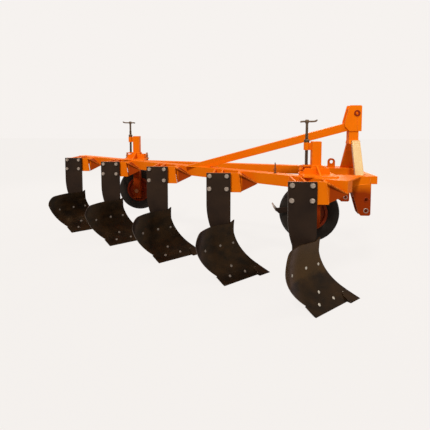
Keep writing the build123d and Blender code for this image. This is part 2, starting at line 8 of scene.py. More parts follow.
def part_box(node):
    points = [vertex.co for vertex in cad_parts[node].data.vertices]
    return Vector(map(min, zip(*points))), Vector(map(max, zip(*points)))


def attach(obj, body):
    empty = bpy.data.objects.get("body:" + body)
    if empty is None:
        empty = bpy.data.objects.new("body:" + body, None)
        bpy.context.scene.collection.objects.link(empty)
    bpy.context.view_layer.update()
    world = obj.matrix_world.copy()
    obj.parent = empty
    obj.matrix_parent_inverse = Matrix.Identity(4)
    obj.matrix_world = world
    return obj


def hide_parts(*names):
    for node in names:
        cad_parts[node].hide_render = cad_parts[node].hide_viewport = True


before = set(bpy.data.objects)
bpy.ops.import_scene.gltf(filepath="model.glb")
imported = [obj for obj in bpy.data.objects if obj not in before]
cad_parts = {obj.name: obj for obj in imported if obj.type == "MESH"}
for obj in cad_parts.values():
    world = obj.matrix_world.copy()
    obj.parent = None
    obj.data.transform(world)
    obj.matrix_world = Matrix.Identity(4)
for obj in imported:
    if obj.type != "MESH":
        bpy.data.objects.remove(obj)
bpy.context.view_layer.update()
print("plough loaded", len(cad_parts), "nodes")

# Places are in metres from the floor under the first leg's front corner:
# forward along the pull, to port (the land side), and up. at() takes them to the part's own frame.
bracketCorner = (-0.190, 0.025)  # the first bracket's rear end and its starboard face
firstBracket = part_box("bracket_1")[0]
plan = {
    "alongShift": firstBracket[0] - bracketCorner[0],
    "portShift": firstBracket[1] - bracketCorner[1],
    "stepAft": 0.608,
    "stepPort": 0.424,
    "bodies": 5,
    "frameTop": 0.857,
    "frameBottom": 0.767,
    "beamNear": 0.175,
    "beamFar": 0.275,
    "beamWall": 0.008,
    "beamRearEnd": -3.305,
    "landSlope": radians(13.6),
}
beamTurn = atan2(plan["stepPort"], plan["stepAft"])
frameTop = plan["frameTop"]
frameBottom = plan["frameBottom"]
seeds = {"bolts": 100, "welds": 7, "wheels": 31}


def at(along, port, height):
    return Vector((along + plan["alongShift"], port + plan["portShift"], height))


def beamPoint(distance, offset, height):
    along = distance * cos(beamTurn) + offset * sin(beamTurn)
    port = -distance * sin(beamTurn) + offset * cos(beamTurn)
    return at(along, port, height)


def beamPort(offset, along):
    return (offset - along * sin(beamTurn)) / cos(beamTurn)


def beamAlong(offset, port):
    return (offset - port * cos(beamTurn)) / sin(beamTurn)


def bodyShift(number):
    return Vector((-plan["stepAft"] * number, plan["stepPort"] * number, 0))


# Finishes: colour drift, colour that sets in along an axis (painted shade on posts, hitch brackets and
# bracket struts), edges lightened by wear and partly as a painted highlight, fine grain and uneven gloss

# What all finishes share: each noise's detail, the span of it that counts,
# and the values of a look that names none
coat = {
    "driftDetail": 4, "driftSpan": (0.35, 0.70), "axisTintSpan": (0.3, 0.7), "glossDetail": 5,
    "glossSpan": (0.3, 0.7), "grainDetail": 3, "speckScale": 0.22, "speckDetail": 6,
    "patchSpan": (0.42, 0.62), "patchLeast": 0.15, "edgeSpan": (0.995, 0.90), "edgeSamples": 4,
    "metal": 0.0, "specular": 0.5, "tint": (1, 1, 1),
}
mixSockets = {"first": 6, "second": 7, "result": 2}  # a Mix node's colour sockets, by their place


def noiseOf(nodes, links, coords, scale, detail, stretch=None, turn=0.0):
    noise = nodes.new("ShaderNodeTexNoise")
    noise.inputs["Scale"].default_value = scale
    noise.inputs["Detail"].default_value = detail
    if stretch is None:
        links.new(coords, noise.inputs["Vector"])
        return noise.outputs["Fac"]
    mapping = nodes.new("ShaderNodeMapping")
    mapping.inputs["Rotation"].default_value = (0, 0, -turn)
    mapping.inputs["Scale"].default_value = stretch
    links.new(coords, mapping.inputs["Vector"])
    links.new(mapping.outputs["Vector"], noise.inputs["Vector"])
    return noise.outputs["Fac"]


def ranged(nodes, links, source, span, toLow, toHigh):
    node = nodes.new("ShaderNodeMapRange")
    node.inputs["From Min"].default_value = span[0]
    node.inputs["From Max"].default_value = span[1]
    node.inputs["To Min"].default_value = toLow
    node.inputs["To Max"].default_value = toHigh
    links.new(source, node.inputs["Value"])
    return node.outputs["Result"]


def mathOf(nodes, links, operation, first, second):
    node = nodes.new("ShaderNodeMath")
    node.operation = operation
    for socket, value in zip(node.inputs, (first, second)):
        if isinstance(value, float):
            socket.default_value = value
        else:
            links.new(value, socket)
    return node.outputs["Value"]


def mixColour(nodes, links, share, first, second):
    node = nodes.new("ShaderNodeMix")
    node.data_type = "RGBA"
    links.new(share, node.inputs["Factor"])
    for place, colour in ((mixSockets["first"], first), (mixSockets["second"], second)):
        if isinstance(colour, tuple):
            node.inputs[place].default_value = (*colour, 1)
        else:
            links.new(colour, node.inputs[place])
    return node.outputs[mixSockets["result"]]


def softNormal(nodes, width):
    bevel = nodes.new("ShaderNodeBevel")
    bevel.samples = coat["edgeSamples"]
    bevel.inputs["Radius"].default_value = width
    return bevel.outputs["Normal"]


def addAxisTint(nodes, links, coords, drift, colour, axisTint):
    # A colour that sets in along one axis of the part: painted shade on the posts, hitch brackets and bracket
    # struts, and a browner top on the first mouldboard
    split = nodes.new("ShaderNodeSeparateXYZ")
    links.new(coords, split.inputs["Vector"])
    uneven = ranged(nodes, links, drift, coat["axisTintSpan"], -axisTint["uneven"], axisTint["uneven"])
    reach = mathOf(nodes, links, "ADD", split.outputs[axisTint["axis"]], uneven)
    within = ranged(nodes, links, reach, (axisTint["untinted"], axisTint["full"]), 0, axisTint["share"])
    return mixColour(nodes, links, within, colour, axisTint["colour"])


def addEdgeWearAndSheen(nodes, links, coords, colour, look):
    # Edges lightened in patches, where the rounded normal leaves the face's own: rubbed wear, and on the
    # orange paint partly a painted highlight along the edges
    speck = noiseOf(nodes, links, coords, look["grainScale"] * coat["speckScale"], coat["speckDetail"])
    geometry = nodes.new("ShaderNodeNewGeometry")
    dot = nodes.new("ShaderNodeVectorMath")
    dot.operation = "DOT_PRODUCT"
    links.new(softNormal(nodes, look["edgeWidth"]), dot.inputs[0])
    links.new(geometry.outputs["Normal"], dot.inputs[1])
    edge = ranged(nodes, links, dot.outputs["Value"], coat["edgeSpan"], 0, 1)
    patchy = ranged(nodes, links, speck, coat["patchSpan"], coat["patchLeast"], look["edgeShare"])
    lightened = mathOf(nodes, links, "MULTIPLY", edge, patchy)
    return mixColour(nodes, links, lightened, colour, look["edgeWearAndSheen"])


def addGrain(nodes, links, coords, shader, look):
    grain = noiseOf(nodes, links, coords, look["grainScale"], coat["grainDetail"])
    bump = nodes.new("ShaderNodeBump")
    bump.inputs["Strength"].default_value = look["grainStrength"]
    bump.inputs["Distance"].default_value = look["grainDepth"]
    links.new(grain, bump.inputs["Height"])
    if look.get("softEdge"):
        links.new(softNormal(nodes, look["softEdge"]), bump.inputs["Normal"])
    links.new(bump.outputs["Normal"], shader.inputs["Normal"])


def finish(name, look):
    material = bpy.data.materials.new(name)
    material.use_nodes = True
    nodes = material.node_tree.nodes
    links = material.node_tree.links
    shader = nodes["Principled BSDF"]
    coords = nodes.new("ShaderNodeTexCoord").outputs["Object"]
    stretch = look.get("stretch")
    turn = look.get("turn", 0)
    drift = noiseOf(nodes, links, coords, look["driftScale"], coat["driftDetail"], stretch, turn)
    share = ranged(nodes, links, drift, coat["driftSpan"], 0, look["driftShare"])
    colour = mixColour(nodes, links, share, look["colour"], look["drift"])
    if look.get("axisTint"):
        colour = addAxisTint(nodes, links, coords, drift, colour, look["axisTint"])
    if look.get("edgeWearAndSheen"):
        colour = addEdgeWearAndSheen(nodes, links, coords, colour, look)
    links.new(colour, shader.inputs["Base Color"])
    gloss = noiseOf(nodes, links, coords, look["glossScale"], coat["glossDetail"], stretch, turn)
    rough = ranged(nodes, links, gloss, coat["glossSpan"], look["roughLow"], look["roughHigh"])
    links.new(rough, shader.inputs["Roughness"])
    shader.inputs["Metallic"].default_value = look.get("metal", coat["metal"])
    shader.inputs["Specular IOR Level"].default_value = look.get("specular", coat["specular"])
    shader.inputs["Specular Tint"].default_value = (*look.get("tint", coat["tint"]), 1)
    addGrain(nodes, links, coords, shader, look)
    return material


shareTurn = radians(41)  # the share's edge against the pull
orangeLook = {
    "colour": (0.79, 0.168, 0.002), "drift": (0.72, 0.124, 0.001), "driftShare": 0.5, "driftScale": 4.0,
    "glossScale": 9.0, "roughLow": 0.48, "roughHigh": 0.62, "specular": 0.11, "tint": (1.0, 0.62, 0.20),
    "metal": 0.20, "grainScale": 420.0, "grainDepth": 0.0002, "grainStrength": 0.35, "softEdge": 0.003,
    # lighter orange on the edges: wear, and partly a painted edge highlight
    "edgeWearAndSheen": (0.98, 0.34, 0.04), "edgeWidth": 0.004, "edgeShare": 0.75,
}
# The near tower leg's copy of the orange paint, paler and glossier: a painted highlight for the pale sheen on
# that leg
nearLegHighlightLook = {
    **orangeLook, "colour": (0.48, 0.17, 0.02), "drift": (0.42, 0.14, 0.01), "metal": 0.0,
    "roughLow": 0.24, "roughHigh": 0.34, "specular": 0.50, "tint": (0.60, 1.0, 0.66),
}
# The posts, their caps and the hitch brackets darken to a deep red below the frame: painted shade under the
# beams
postShade = {
    "axis": "Z", "untinted": 0.80, "full": 0.71, "uneven": 0.02, "share": 0.94, "colour": (0.215, 0.018, 0.002),
}
# A deep red for the rims, wheel nuts and bore rings: a real red darkened to the shaded look of the rims,
# partly painted shade
redLook = {
    "colour": (0.22, 0.018, 0.004), "drift": (0.11, 0.010, 0.003), "driftShare": 0.7, "driftScale": 7.0,
    "glossScale": 14.0, "roughLow": 0.30, "roughHigh": 0.48, "specular": 0.3, "tint": (1.0, 0.5, 0.25),
    "grainScale": 420.0, "grainDepth": 0.0002, "grainStrength": 0.35, "softEdge": 0.002,
    "edgeWearAndSheen": (0.42, 0.07, 0.02), "edgeWidth": 0.003, "edgeShare": 0.6,
}
boardLook = {
    "colour": (0.011, 0.007, 0.0045), "drift": (0.042, 0.020, 0.007), "driftShare": 0.6, "driftScale": 5.0,
    "stretch": (0.6, 3.0, 3.0), "turn": shareTurn, "glossScale": 8.0, "roughLow": 0.20, "roughHigh": 0.36,
    "specular": 0.20, "tint": (0.60, 0.44, 0.26), "metal": 0.45,
    "grainScale": 300.0, "grainDepth": 0.0002, "grainStrength": 0.30, "softEdge": 0.002,
    "edgeWearAndSheen": (0.07, 0.050, 0.034), "edgeWidth": 0.003, "edgeShare": 0.65,
}
# The first mouldboard turns browner above a height
boardUpperBrown = {
    "axis": "Z", "untinted": 0.195, "full": 0.230, "uneven": 0.016, "share": 0.42,
    "colour": (0.085, 0.044, 0.014),
}
legLook = {
    "colour": (0.017, 0.0105, 0.008), "drift": (0.040, 0.022, 0.013), "driftShare": 0.6, "driftScale": 5.0,
    "glossScale": 10.0, "roughLow": 0.44, "roughHigh": 0.60, "specular": 0.14, "tint": (0.8, 0.62, 0.46),
    "metal": 0.25, "grainScale": 260.0, "grainDepth": 0.0004, "grainStrength": 0.45, "softEdge": 0.0025,
    "edgeWearAndSheen": (0.06, 0.045, 0.034), "edgeWidth": 0.003, "edgeShare": 0.6,
}
rubberLook = {
    "colour": (0.012, 0.009, 0.007), "drift": (0.026, 0.020, 0.015), "driftShare": 0.5, "driftScale": 9.0,
    "glossScale": 20.0, "roughLow": 0.55, "roughHigh": 0.78, "specular": 0.18, "tint": (1.0, 0.88, 0.76),
    "grainScale": 500.0, "grainDepth": 0.0005, "grainStrength": 0.5,
}
steelLook = {
    "colour": (0.115, 0.080, 0.052), "drift": (0.07, 0.042, 0.024), "driftShare": 0.7, "driftScale": 22.0,
    "glossScale": 40.0, "roughLow": 0.34, "roughHigh": 0.54, "specular": 0.25, "tint": (0.85, 0.66, 0.48),
    "metal": 0.85, "grainScale": 600.0, "grainDepth": 0.0002, "grainStrength": 0.4,
}
zincLook = {
    "colour": (0.36, 0.29, 0.235), "drift": (0.20, 0.15, 0.115), "driftShare": 0.6, "driftScale": 60.0,
    "glossScale": 80.0, "roughLow": 0.34, "roughHigh": 0.52, "metal": 0.6,
    "grainScale": 700.0, "grainDepth": 0.0002, "grainStrength": 0.4,
}
brightLook = {
    **zincLook, "colour": (0.50, 0.45, 0.37), "drift": (0.28, 0.24, 0.19), "roughHigh": 0.5, "metal": 0.4,
}
dullLook = {**brightLook, "colour": (0.21, 0.175, 0.145), "drift": (0.10, 0.075, 0.055)}
rustLook = {
    "colour": (0.46, 0.20, 0.085), "drift": (0.30, 0.09, 0.03), "driftShare": 0.7, "driftScale": 40.0,
    "glossScale": 60.0, "roughLow": 0.45, "roughHigh": 0.65, "specular": 0.3, "tint": (1.0, 0.7, 0.45),
    "grainScale": 600.0, "grainDepth": 0.0003, "grainStrength": 0.4,
}
orangePaint = finish("orangePaint", orangeLook)
shadedBelowPaint = finish("shadedBelowPaint", {**orangeLook, "axisTint": postShade})
redPaint = finish("redPaint", redLook)
boardBlack = finish("boardBlack", boardLook)
legBlack = finish("legBlack", legLook)
tyreRubber = finish("tyreRubber", rubberLook)
screwSteel = finish("screwSteel", steelLook)
boltZinc = finish("boltZinc", zincLook)
rustyBolt = finish("rustyBolt", rustLook)
ploughBoltSteel = finish("ploughBoltSteel", brightLook)
dullBoltSteel = finish("dullBoltSteel", dullLook)
finishOfNode = {  # by kind, or by the node's own name where it differs from its kind
    "rim": redPaint, "leg": legBlack, "mouldboard": boardBlack, "share": boardBlack, "landside": legBlack,
    # the near tower leg takes the painted-highlight copy of the orange paint
    "tower_leg_right": finish("nearLegHighlightPaint", nearLegHighlightLook), "tyre": tyreRubber, "screw": screwSteel,
    "mouldboard_1": finish("upperBrownBoard", {**boardLook, "axisTint": boardUpperBrown}),
    # posts and hitch brackets take the painted shade below the frame
    "post": shadedBelowPaint, "hitch_bracket": shadedBelowPaint,
}
# The strut ahead of each bracket's box turns a darker red: painted shade in the recess that the box and roof
# shade
strutShadeStart = {"boxFront": 0.088, "fade": 0.012}
strutShade = {"axis": "X", "uneven": 0.002, "share": 0.88, "colour": (0.26, 0.024, 0.003)}
for number in range(plan["bodies"]):
    boxFront = plan["alongShift"] - plan["stepAft"] * number + strutShadeStart["boxFront"]
    axisTint = {**strutShade, "untinted": boxFront, "full": boxFront + strutShadeStart["fade"]}
    finishOfNode[f"bracket_{number + 1}"] = finish(f"bracketShadedPaint{number + 1}", {**orangeLook, "axisTint": axisTint})
for nodeName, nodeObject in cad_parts.items():
    kind = nodeName.rsplit("_", 1)[0]
    chosen = finishOfNode.get(nodeName, finishOfNode.get(kind, orangePaint))
    for slot in nodeObject.material_slots:
        slot.material = chosen
print("finishes set")


# Making meshes
meshSet = {"merge": 0.000001, "sharp": 35}


def addPiece(name, shape, material, body="frame", sharp=meshSet["sharp"]):
    mesh = bpy.data.meshes.new(name)
    bmesh.ops.remove_doubles(shape, verts=shape.verts, dist=meshSet["merge"])
    bmesh.ops.recalc_face_normals(shape, faces=shape.faces)
    shape.to_mesh(mesh)
    shape.free()
    for face in mesh.polygons:
        face.use_smooth = True
    mesh.set_sharp_from_angle(angle=radians(sharp))
    piece = bpy.data.objects.new(name, mesh)
    bpy.context.scene.collection.objects.link(piece)
    mesh.materials.append(material)
    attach(piece, body)
    return piece


def turnTo(axis):
    return Vector((0, 0, 1)).rotation_difference(Vector(axis).normalized()).to_matrix()


def joinRings(shape, rings, closed=False):
    pairs = list(zip(rings, rings[1:]))
    if closed:
        pairs.append((rings[-1], rings[0]))
    for lower, upper in pairs:
        for step in range(max(len(lower), len(upper))):
            ahead = (step + 1) % max(len(lower), len(upper))
            if len(lower) == 1:
                shape.faces.new((lower[0], upper[ahead], upper[step]))
            elif len(upper) == 1:
                shape.faces.new((lower[step], lower[ahead], upper[0]))
            else:
                shape.faces.new((lower[step], lower[ahead], upper[ahead], upper[step]))


def circleOf(shape, centre, turn, radius, height, segments, spin=0.0, flats=None):
    circle = []
    for step in range(segments):
        angle = 2 * pi * step / segments
        reach = radius
        if flats and radius >= flats["from"]:
            corner = 2 * pi / flats["count"]
            reach = radius * cos(corner / 2) / cos(angle % corner - corner / 2)
        spot = Vector((reach * cos(angle + spin), reach * sin(angle + spin), height))
        circle.append(shape.verts.new(centre + turn @ spot))
    return circle


def addTurned(shape, profile, centre, axis, segments, spin=0.0):
    # Turns (radius, height) pairs about an axis; a radius of zero closes the end in one point
    turn = turnTo(axis)
    rings = []
    for radius, height in profile:
        if radius == 0:
            rings.append([shape.verts.new(centre + turn @ Vector((0, 0, height)))])
        else:
            rings.append(circleOf(shape, centre, turn, radius, height, segments, spin))
    joinRings(shape, rings)


def addRing(shape, loop, centre, axis, segments, flats=None):
    # Turns a closed loop of (radius, height) pairs into a ring with a hole through it
    turn = turnTo(axis)
    rings = [circleOf(shape, centre, turn, radius, height, segments, 0.0, flats) for radius, height in loop]
    joinRings(shape, rings, True)


def nearestStep(lower, upper):
    sides = len(lower)
    spans = []
    for step in range(sides):
        spans.append(sum((lower[side].co - upper[(side + step) % sides].co).length for side in range(sides)))
    return spans.index(min(spans))


def addTube(shape, points, radii, sides):
    rings = []
    for index, point in enumerate(points):
        before = points[max(index - 1, 0)]
        after = points[min(index + 1, len(points) - 1)]
        rings.append(circleOf(shape, point, turnTo(after - before), radii[index], 0, sides))
    for index in range(1, len(rings)):
        offset = nearestStep(rings[index - 1], rings[index])
        rings[index] = rings[index][offset:] + rings[index][:offset]
    joinRings(shape, rings)
    shape.faces.new(list(reversed(rings[0])))
    shape.faces.new(rings[-1])


def addBlock(shape, corners, push):
    # A plate: an outline of points pushed along a vector
    low = [shape.verts.new(point) for point in corners]
    high = [shape.verts.new(point + Vector(push)) for point in corners]
    shape.faces.new(low)
    shape.faces.new(list(reversed(high)))
    for index in range(len(corners)):
        ahead = (index + 1) % len(corners)
        shape.faces.new((low[index], high[index], high[ahead], low[ahead]))


# Bolts and nuts in metres at size one, and the shares of those sizes that shape their edges
hexBolt = {"washer": 0.0185, "washerHeight": 0.003, "head": 0.0165, "headHeight": 0.0115, "chamfer": 0.0022}
hexNut = {
    "washer": 0.0185, "washerHeight": 0.003, "nut": 0.0168, "nutHeight": 0.015, "thread": 0.0098,
    "stub": 0.008, "pitch": 0.0022,
}
threadShares = {"core": 0.9, "crestAt": 0.35, "rootAt": 0.85, "root": 0.88, "end": 0.8}
washerShares = {"rise": 0.8, "rim": 0.97}
headShares = {
    "foot": 0.97, "footRise": 0.4, "shoulder": 0.8, "crown": 0.87, "dishRim": 0.62, "dish": 0.56,
    "dishDrop": 0.3,
}
nutShares = {"end": 0.88, "footRise": 1.6, "shoulder": 0.6, "threadFrom": 0.9}
turnedSides = {"hex": 6, "thread": 16, "washer": 24}


def addThread(shape, centre, axis, radius, low, high, pitch):
    # Ring grooves that read as a thread on a small bolt
    profile = [(0, low), (radius * threadShares["core"], low)]
    count = max(1, int((high - low) / pitch))
    for index in range(count):
        start = low + (high - low) * index / count
        profile.append((radius, start + pitch * threadShares["crestAt"]))
        profile.append((radius * threadShares["root"], start + pitch * threadShares["rootAt"]))
    profile += [(radius * threadShares["end"], high), (0, high)]
    addTurned(shape, profile, centre, axis, turnedSides["thread"])


def addWasher(shape, centre, axis, radius, height):
    side = [(0, 0), (radius, 0), (radius, height * washerShares["rise"])]
    face = [(radius * washerShares["rim"], height), (0, height)]
    addTurned(shape, side + face, centre, axis, turnedSides["washer"])


def addHexHead(shape, centre, axis, size=1.0, spin=0.0):
    bolt = {key: value * size for key, value in hexBolt.items()}
    lift = bolt["washerHeight"]
    addWasher(shape, centre, axis, bolt["washer"], lift)
    top = lift + bolt["headHeight"]
    head = bolt["head"]
    slope = bolt["chamfer"]
    dish = top - slope * headShares["dishDrop"]
    flats = [(0, lift), (head * headShares["foot"], lift), (head, lift + slope * headShares["footRise"])]
    flats += [(head, top - slope * headShares["shoulder"]), (head * headShares["crown"], top)]
    crown = [(head * headShares["dishRim"], top), (head * headShares["dish"], dish), (0, dish)]
    addTurned(shape, flats + crown, centre, axis, turnedSides["hex"], spin)


def addNut(shape, centre, axis, size=1.0, spin=0.0):
    nut = {key: value * size for key, value in hexNut.items()}
    lift = nut["washerHeight"]
    addWasher(shape, centre, axis, nut["washer"], lift)
    top = lift + nut["nutHeight"]
    flat = nut["nut"]
    end = flat * nutShares["end"]
    low = [(0, lift), (end, lift), (flat, lift * nutShares["footRise"])]
    high = [(flat, top - lift * nutShares["shoulder"]), (end, top), (0, top)]
    addTurned(shape, low + high, centre, axis, turnedSides["hex"], spin)
    threadLow = top * nutShares["threadFrom"]
    addThread(shape, centre, axis, nut["thread"], threadLow, top + nut["stub"], nut["pitch"])


weld = {
    "radius": 0.0048, "pitch": 0.0052, "ripple": 0.16, "wander": 0.0006, "wanderFrom": (0.3, 0.5, 0.8),
    "leastSteps": 4, "endShare": 0.35, "endGrowth": 0.44, "uneven": (0.94, 1.06), "sides": 7,
}
weldSize = {"sleeve": 1.15, "plate": 0.8, "blade": 0.7, "eye": 0.7, "lug": 0.55, "cap": 0.45}


def addWeld(shape, start, end, size=1.0):
    # A rippled bead laid along a line, half sunk in the corner it fills
    way = end - start
    steps = max(weld["leastSteps"], int(way.length / weld["pitch"]) * 2)
    points = []
    radii = []
    side = way.cross(Vector(weld["wanderFrom"])).normalized()
    for index in range(steps + 1):
        share = index / steps
        points.append(start + way * share + side * weld["wander"] * random.uniform(-1, 1))
        wave = 1 + weld["ripple"] * (1 if index % 2 else -1)
        fromEnd = min(share, 1 - share) * way.length / weld["radius"]
        closing = min(1.0, weld["endShare"] + weld["endGrowth"] * fromEnd)
        radii.append(weld["radius"] * size * wave * closing * random.uniform(*weld["uneven"]))
    addTube(shape, points, radii, weld["sides"])


def addWeldLoop(shape, corners, size=1.0):
    for index, corner in enumerate(corners):
        addWeld(shape, corner, corners[(index + 1) % len(corners)], size)


def addUpright(shape, along, port, low, high, size=1.0):
    # A bead that stands upright
    addWeld(shape, at(along, port, low), at(along, port, high), size)


def addLevel(shape, low, high, port, height, size=1.0):
    # A bead that runs fore and aft
    addWeld(shape, at(low, port, height), at(high, port, height), size)


# Bolts of the bodies
legBolts = {
    "places": ((-0.173, 0.833), (-0.032, 0.832), (-0.176, 0.726), (-0.033, 0.726)),
    "plate": 0.025,
    "bracket": 0.016,
}
surface = {
    "heelAlong": -0.040, "heelPort": -0.210, "radius": 0.470, "lift": radians(44), "skin": 0.009,
    "frog": 0.012, "curlRadius": 0.280, "curlHeight": 0.330, "curlLean": radians(35),
}
ploughBolts = {
    "places": ((0.018, 0.033, 0.268), (-0.080, -0.061, 0.271), (-0.196, -0.176, 0.265),
               (0.004, -0.053, 0.104), (0.218, 0.057, 0.045), (0.120, -0.014, 0.044),
               (0.000, -0.120, 0.045)),
    "radius": 0.0105,
    "proud": 0.0014,
    "nutSize": 0.62,
}
landsideBolts = {"places": ((-0.090, 0.080), (0.050, 0.080)), "face": 0.085, "radius": 0.013, "proud": 0.0016}
flatHead = {"sunk": 0.002, "sides": 20}
domeShares = ((1, 0.4), (0.86, 1), (0.42, 1.15), (0, 0.8))  # of the head's radius and how far it is proud


def onSurface(along, port, height, depth=0.0):
    # The point of the working surface at a place, depth behind it, and its normal.
    # Behind the share's heel the surface curls round an axis that leans back.
    acrossAlong = along - surface["heelAlong"]
    acrossPort = port - surface["heelPort"]
    distance = acrossAlong * cos(shareTurn) + acrossPort * sin(shareTurn)
    across = acrossPort * cos(shareTurn) - acrossAlong * sin(shareTurn)
    axisBack = -surface["radius"] * sin(surface["lift"])
    axisHigh = surface["radius"] * cos(surface["lift"])
    curl = Matrix.Identity(3)
    pivot = Vector((0, 0, 0))
    if distance < 0:
        lean = surface["curlLean"]
        rise = Vector((0, sin(lean), cos(lean)))
        outward = Vector((0, cos(lean), -sin(lean)))
        pivotBack = surface["radius"] + axisBack - surface["curlRadius"] * cos(lean)
        pivot = Vector((0, pivotBack, surface["curlHeight"] + surface["curlRadius"] * sin(lean)))
        arm = Vector((distance, across, height)) - pivot
        angle = atan2(-distance, arm.dot(outward))
        reach = sqrt(distance ** 2 + arm.dot(outward) ** 2)
        height = (pivot + rise * arm.dot(rise) + outward * reach).z
        curl = Matrix.Rotation(angle, 3, rise)
        distance = 0
    back = axisBack + sqrt(surface["radius"] ** 2 - (height - axisHigh) ** 2)
    normal = Vector((0, axisBack - back, axisHigh - height)).normalized()
    spot = curl @ (Vector((distance, back, height)) - normal * depth - pivot) + pivot
    turn = Matrix.Rotation(shareTurn, 3, "Z")
    placed = turn @ spot + Vector((surface["heelAlong"], surface["heelPort"], 0))
    return at(*placed), turn @ curl @ normal


def addFlatHead(shape, centre, axis, sizes):
    dome = [(sizes["radius"] * wide, sizes["proud"] * high) for wide, high in domeShares]
    foot = [(0, -flatHead["sunk"]), (sizes["radius"], -flatHead["sunk"])]
    addTurned(shape, foot + dome, centre, axis, flatHead["sides"])


inside = legBolts["plate"] + legBolts["bracket"]
for number in range(plan["bodies"]):
    random.seed(seeds["bolts"] + number)
    shift = bodyShift(number)
    heads = bmesh.new()
    for along, height in legBolts["places"]:
        addHexHead(heads, at(along, 0, height) + shift, (0, -1, 0), 1.0, random.uniform(0, 1))
        addNut(heads, at(along, inside, height) + shift, (0, 1, 0), 1.0, random.uniform(0, 1))
    addPiece(f"legBolts{number + 1}", heads, boltZinc)
    heads = bmesh.new()
    for spot in ploughBolts["places"]:
        centre, normal = onSurface(*spot)
        addFlatHead(heads, centre + shift, normal, ploughBolts)
        behind = onSurface(*spot, surface["skin"] + surface["frog"])[0]
        addNut(heads, behind + shift, -normal, ploughBolts["nutSize"], random.uniform(0, 1))
    for along, height in landsideBolts["places"]:
        addFlatHead(heads, at(along, landsideBolts["face"], height) + shift, (0, 1, 0), landsideBolts)
    addPiece(f"ploughBolts{number + 1}", heads, dullBoltSteel if number else ploughBoltSteel)
print("bolts of the bodies made")


# Weld beads
bracketSeams = {
    "ribs": (-0.150, -0.080), "ribThick": 0.012, "ribLift": 0.004, "ribDrop": 0.006, "anglePort": 0.041,
    "angleLow": 0.700, "roof": (0.064, 0.217), "roofLift": 0.003, "strutRear": (0.064, 0.028),
    "strutFront": (0.215, 0.056), "strutDrop": 0.003, "strutLift": 0.001,
    "boxEnd": ((0.066, 0.026, 0.856), (0.086, 0.026, 0.697)),
}
hitch = {
    "railRear": 0.225, "railFront": 0.470, "spread": 0.260, "port": 0.610, "railWidth": 0.074, "tube": 0.054,
    "railBottomFront": 0.797, "clevisRear": 0.323, "clevisFront": 0.468, "wall": 0.006, "landPort": 0.953,
    "landHalf": 0.041, "landRearHalf": 0.0404, "tubePortEnd": 0.993, "eyeAlong": 0.318, "eyeHalf": 0.0335,
    "eyeFace": 0.007,
}
hitchSeams = {
    "top": 0.855, "railFrontLow": 0.800, "railRearLow": 0.770, "landLow": 0.780, "clevisRearLow": 0.779,
    "clevisInset": 0.002,
}
tower = {
    "nearFoot": (0.365, 0.431), "farFoot": (0.400, 0.518), "footHalf": 0.015, "topAlong": 0.430,
    "topHeight": 1.125, "topHalf": 0.033, "topOut": 0.004, "neckHalf": 0.036, "neckSpan": (0.382, 0.460),
    "neckGap": 0.001, "headBottom": 1.201, "headRear": 0.382, "cheekOut": 0.042, "lugAlong": 0.446,
    "lugLow": 1.206, "lugTop": 1.325,
}
brace = {
    "nearFoot": ((-0.824, 0.846), (-1.060, 0.899)), "farFoot": ((-0.810, 0.911), (-1.046, 0.964)),
    "half": 0.033, "headLow": 1.210, "headHigh": 1.272, "headTop": 1.274,
}

random.seed(seeds["welds"])
ribTop = frameTop - bracketSeams["ribDrop"]
ribLow = frameBottom + bracketSeams["ribLift"]
anglePort = bracketSeams["anglePort"]
roofRear, roofFront = bracketSeams["roof"]
roofStart = at(roofRear, beamPort(plan["beamNear"], roofRear), frameTop)
roofEnd = at(roofFront, beamPort(plan["beamNear"], roofFront), frameBottom + bracketSeams["roofLift"])
strutStart = at(*bracketSeams["strutRear"], frameTop - bracketSeams["strutDrop"])
strutEnd = at(*bracketSeams["strutFront"], frameBottom + bracketSeams["strutLift"])
boxTop, boxLow = [at(*spot) for spot in bracketSeams["boxEnd"]]
for number in range(plan["bodies"]):
    shift = bodyShift(number)
    bead = bmesh.new()
    for ribRear in bracketSeams["ribs"]:
        for along in (ribRear, ribRear + bracketSeams["ribThick"]):
            port = beamPort(plan["beamNear"], along)
            addWeld(bead, at(along, port, ribLow) + shift, at(along, port, ribTop) + shift)
            foot = at(along, anglePort, bracketSeams["angleLow"])
            addWeld(bead, foot + shift, at(along, anglePort, ribTop) + shift)
    addWeld(bead, roofStart + shift, roofEnd + shift)
    addWeld(bead, strutStart + shift, strutEnd + shift, weldSize["plate"])
    addWeld(bead, boxTop + shift, boxLow + shift, weldSize["plate"])
    addPiece(f"bracketWelds{number + 1}", bead, finishOfNode[f"bracket_{number + 1}"])

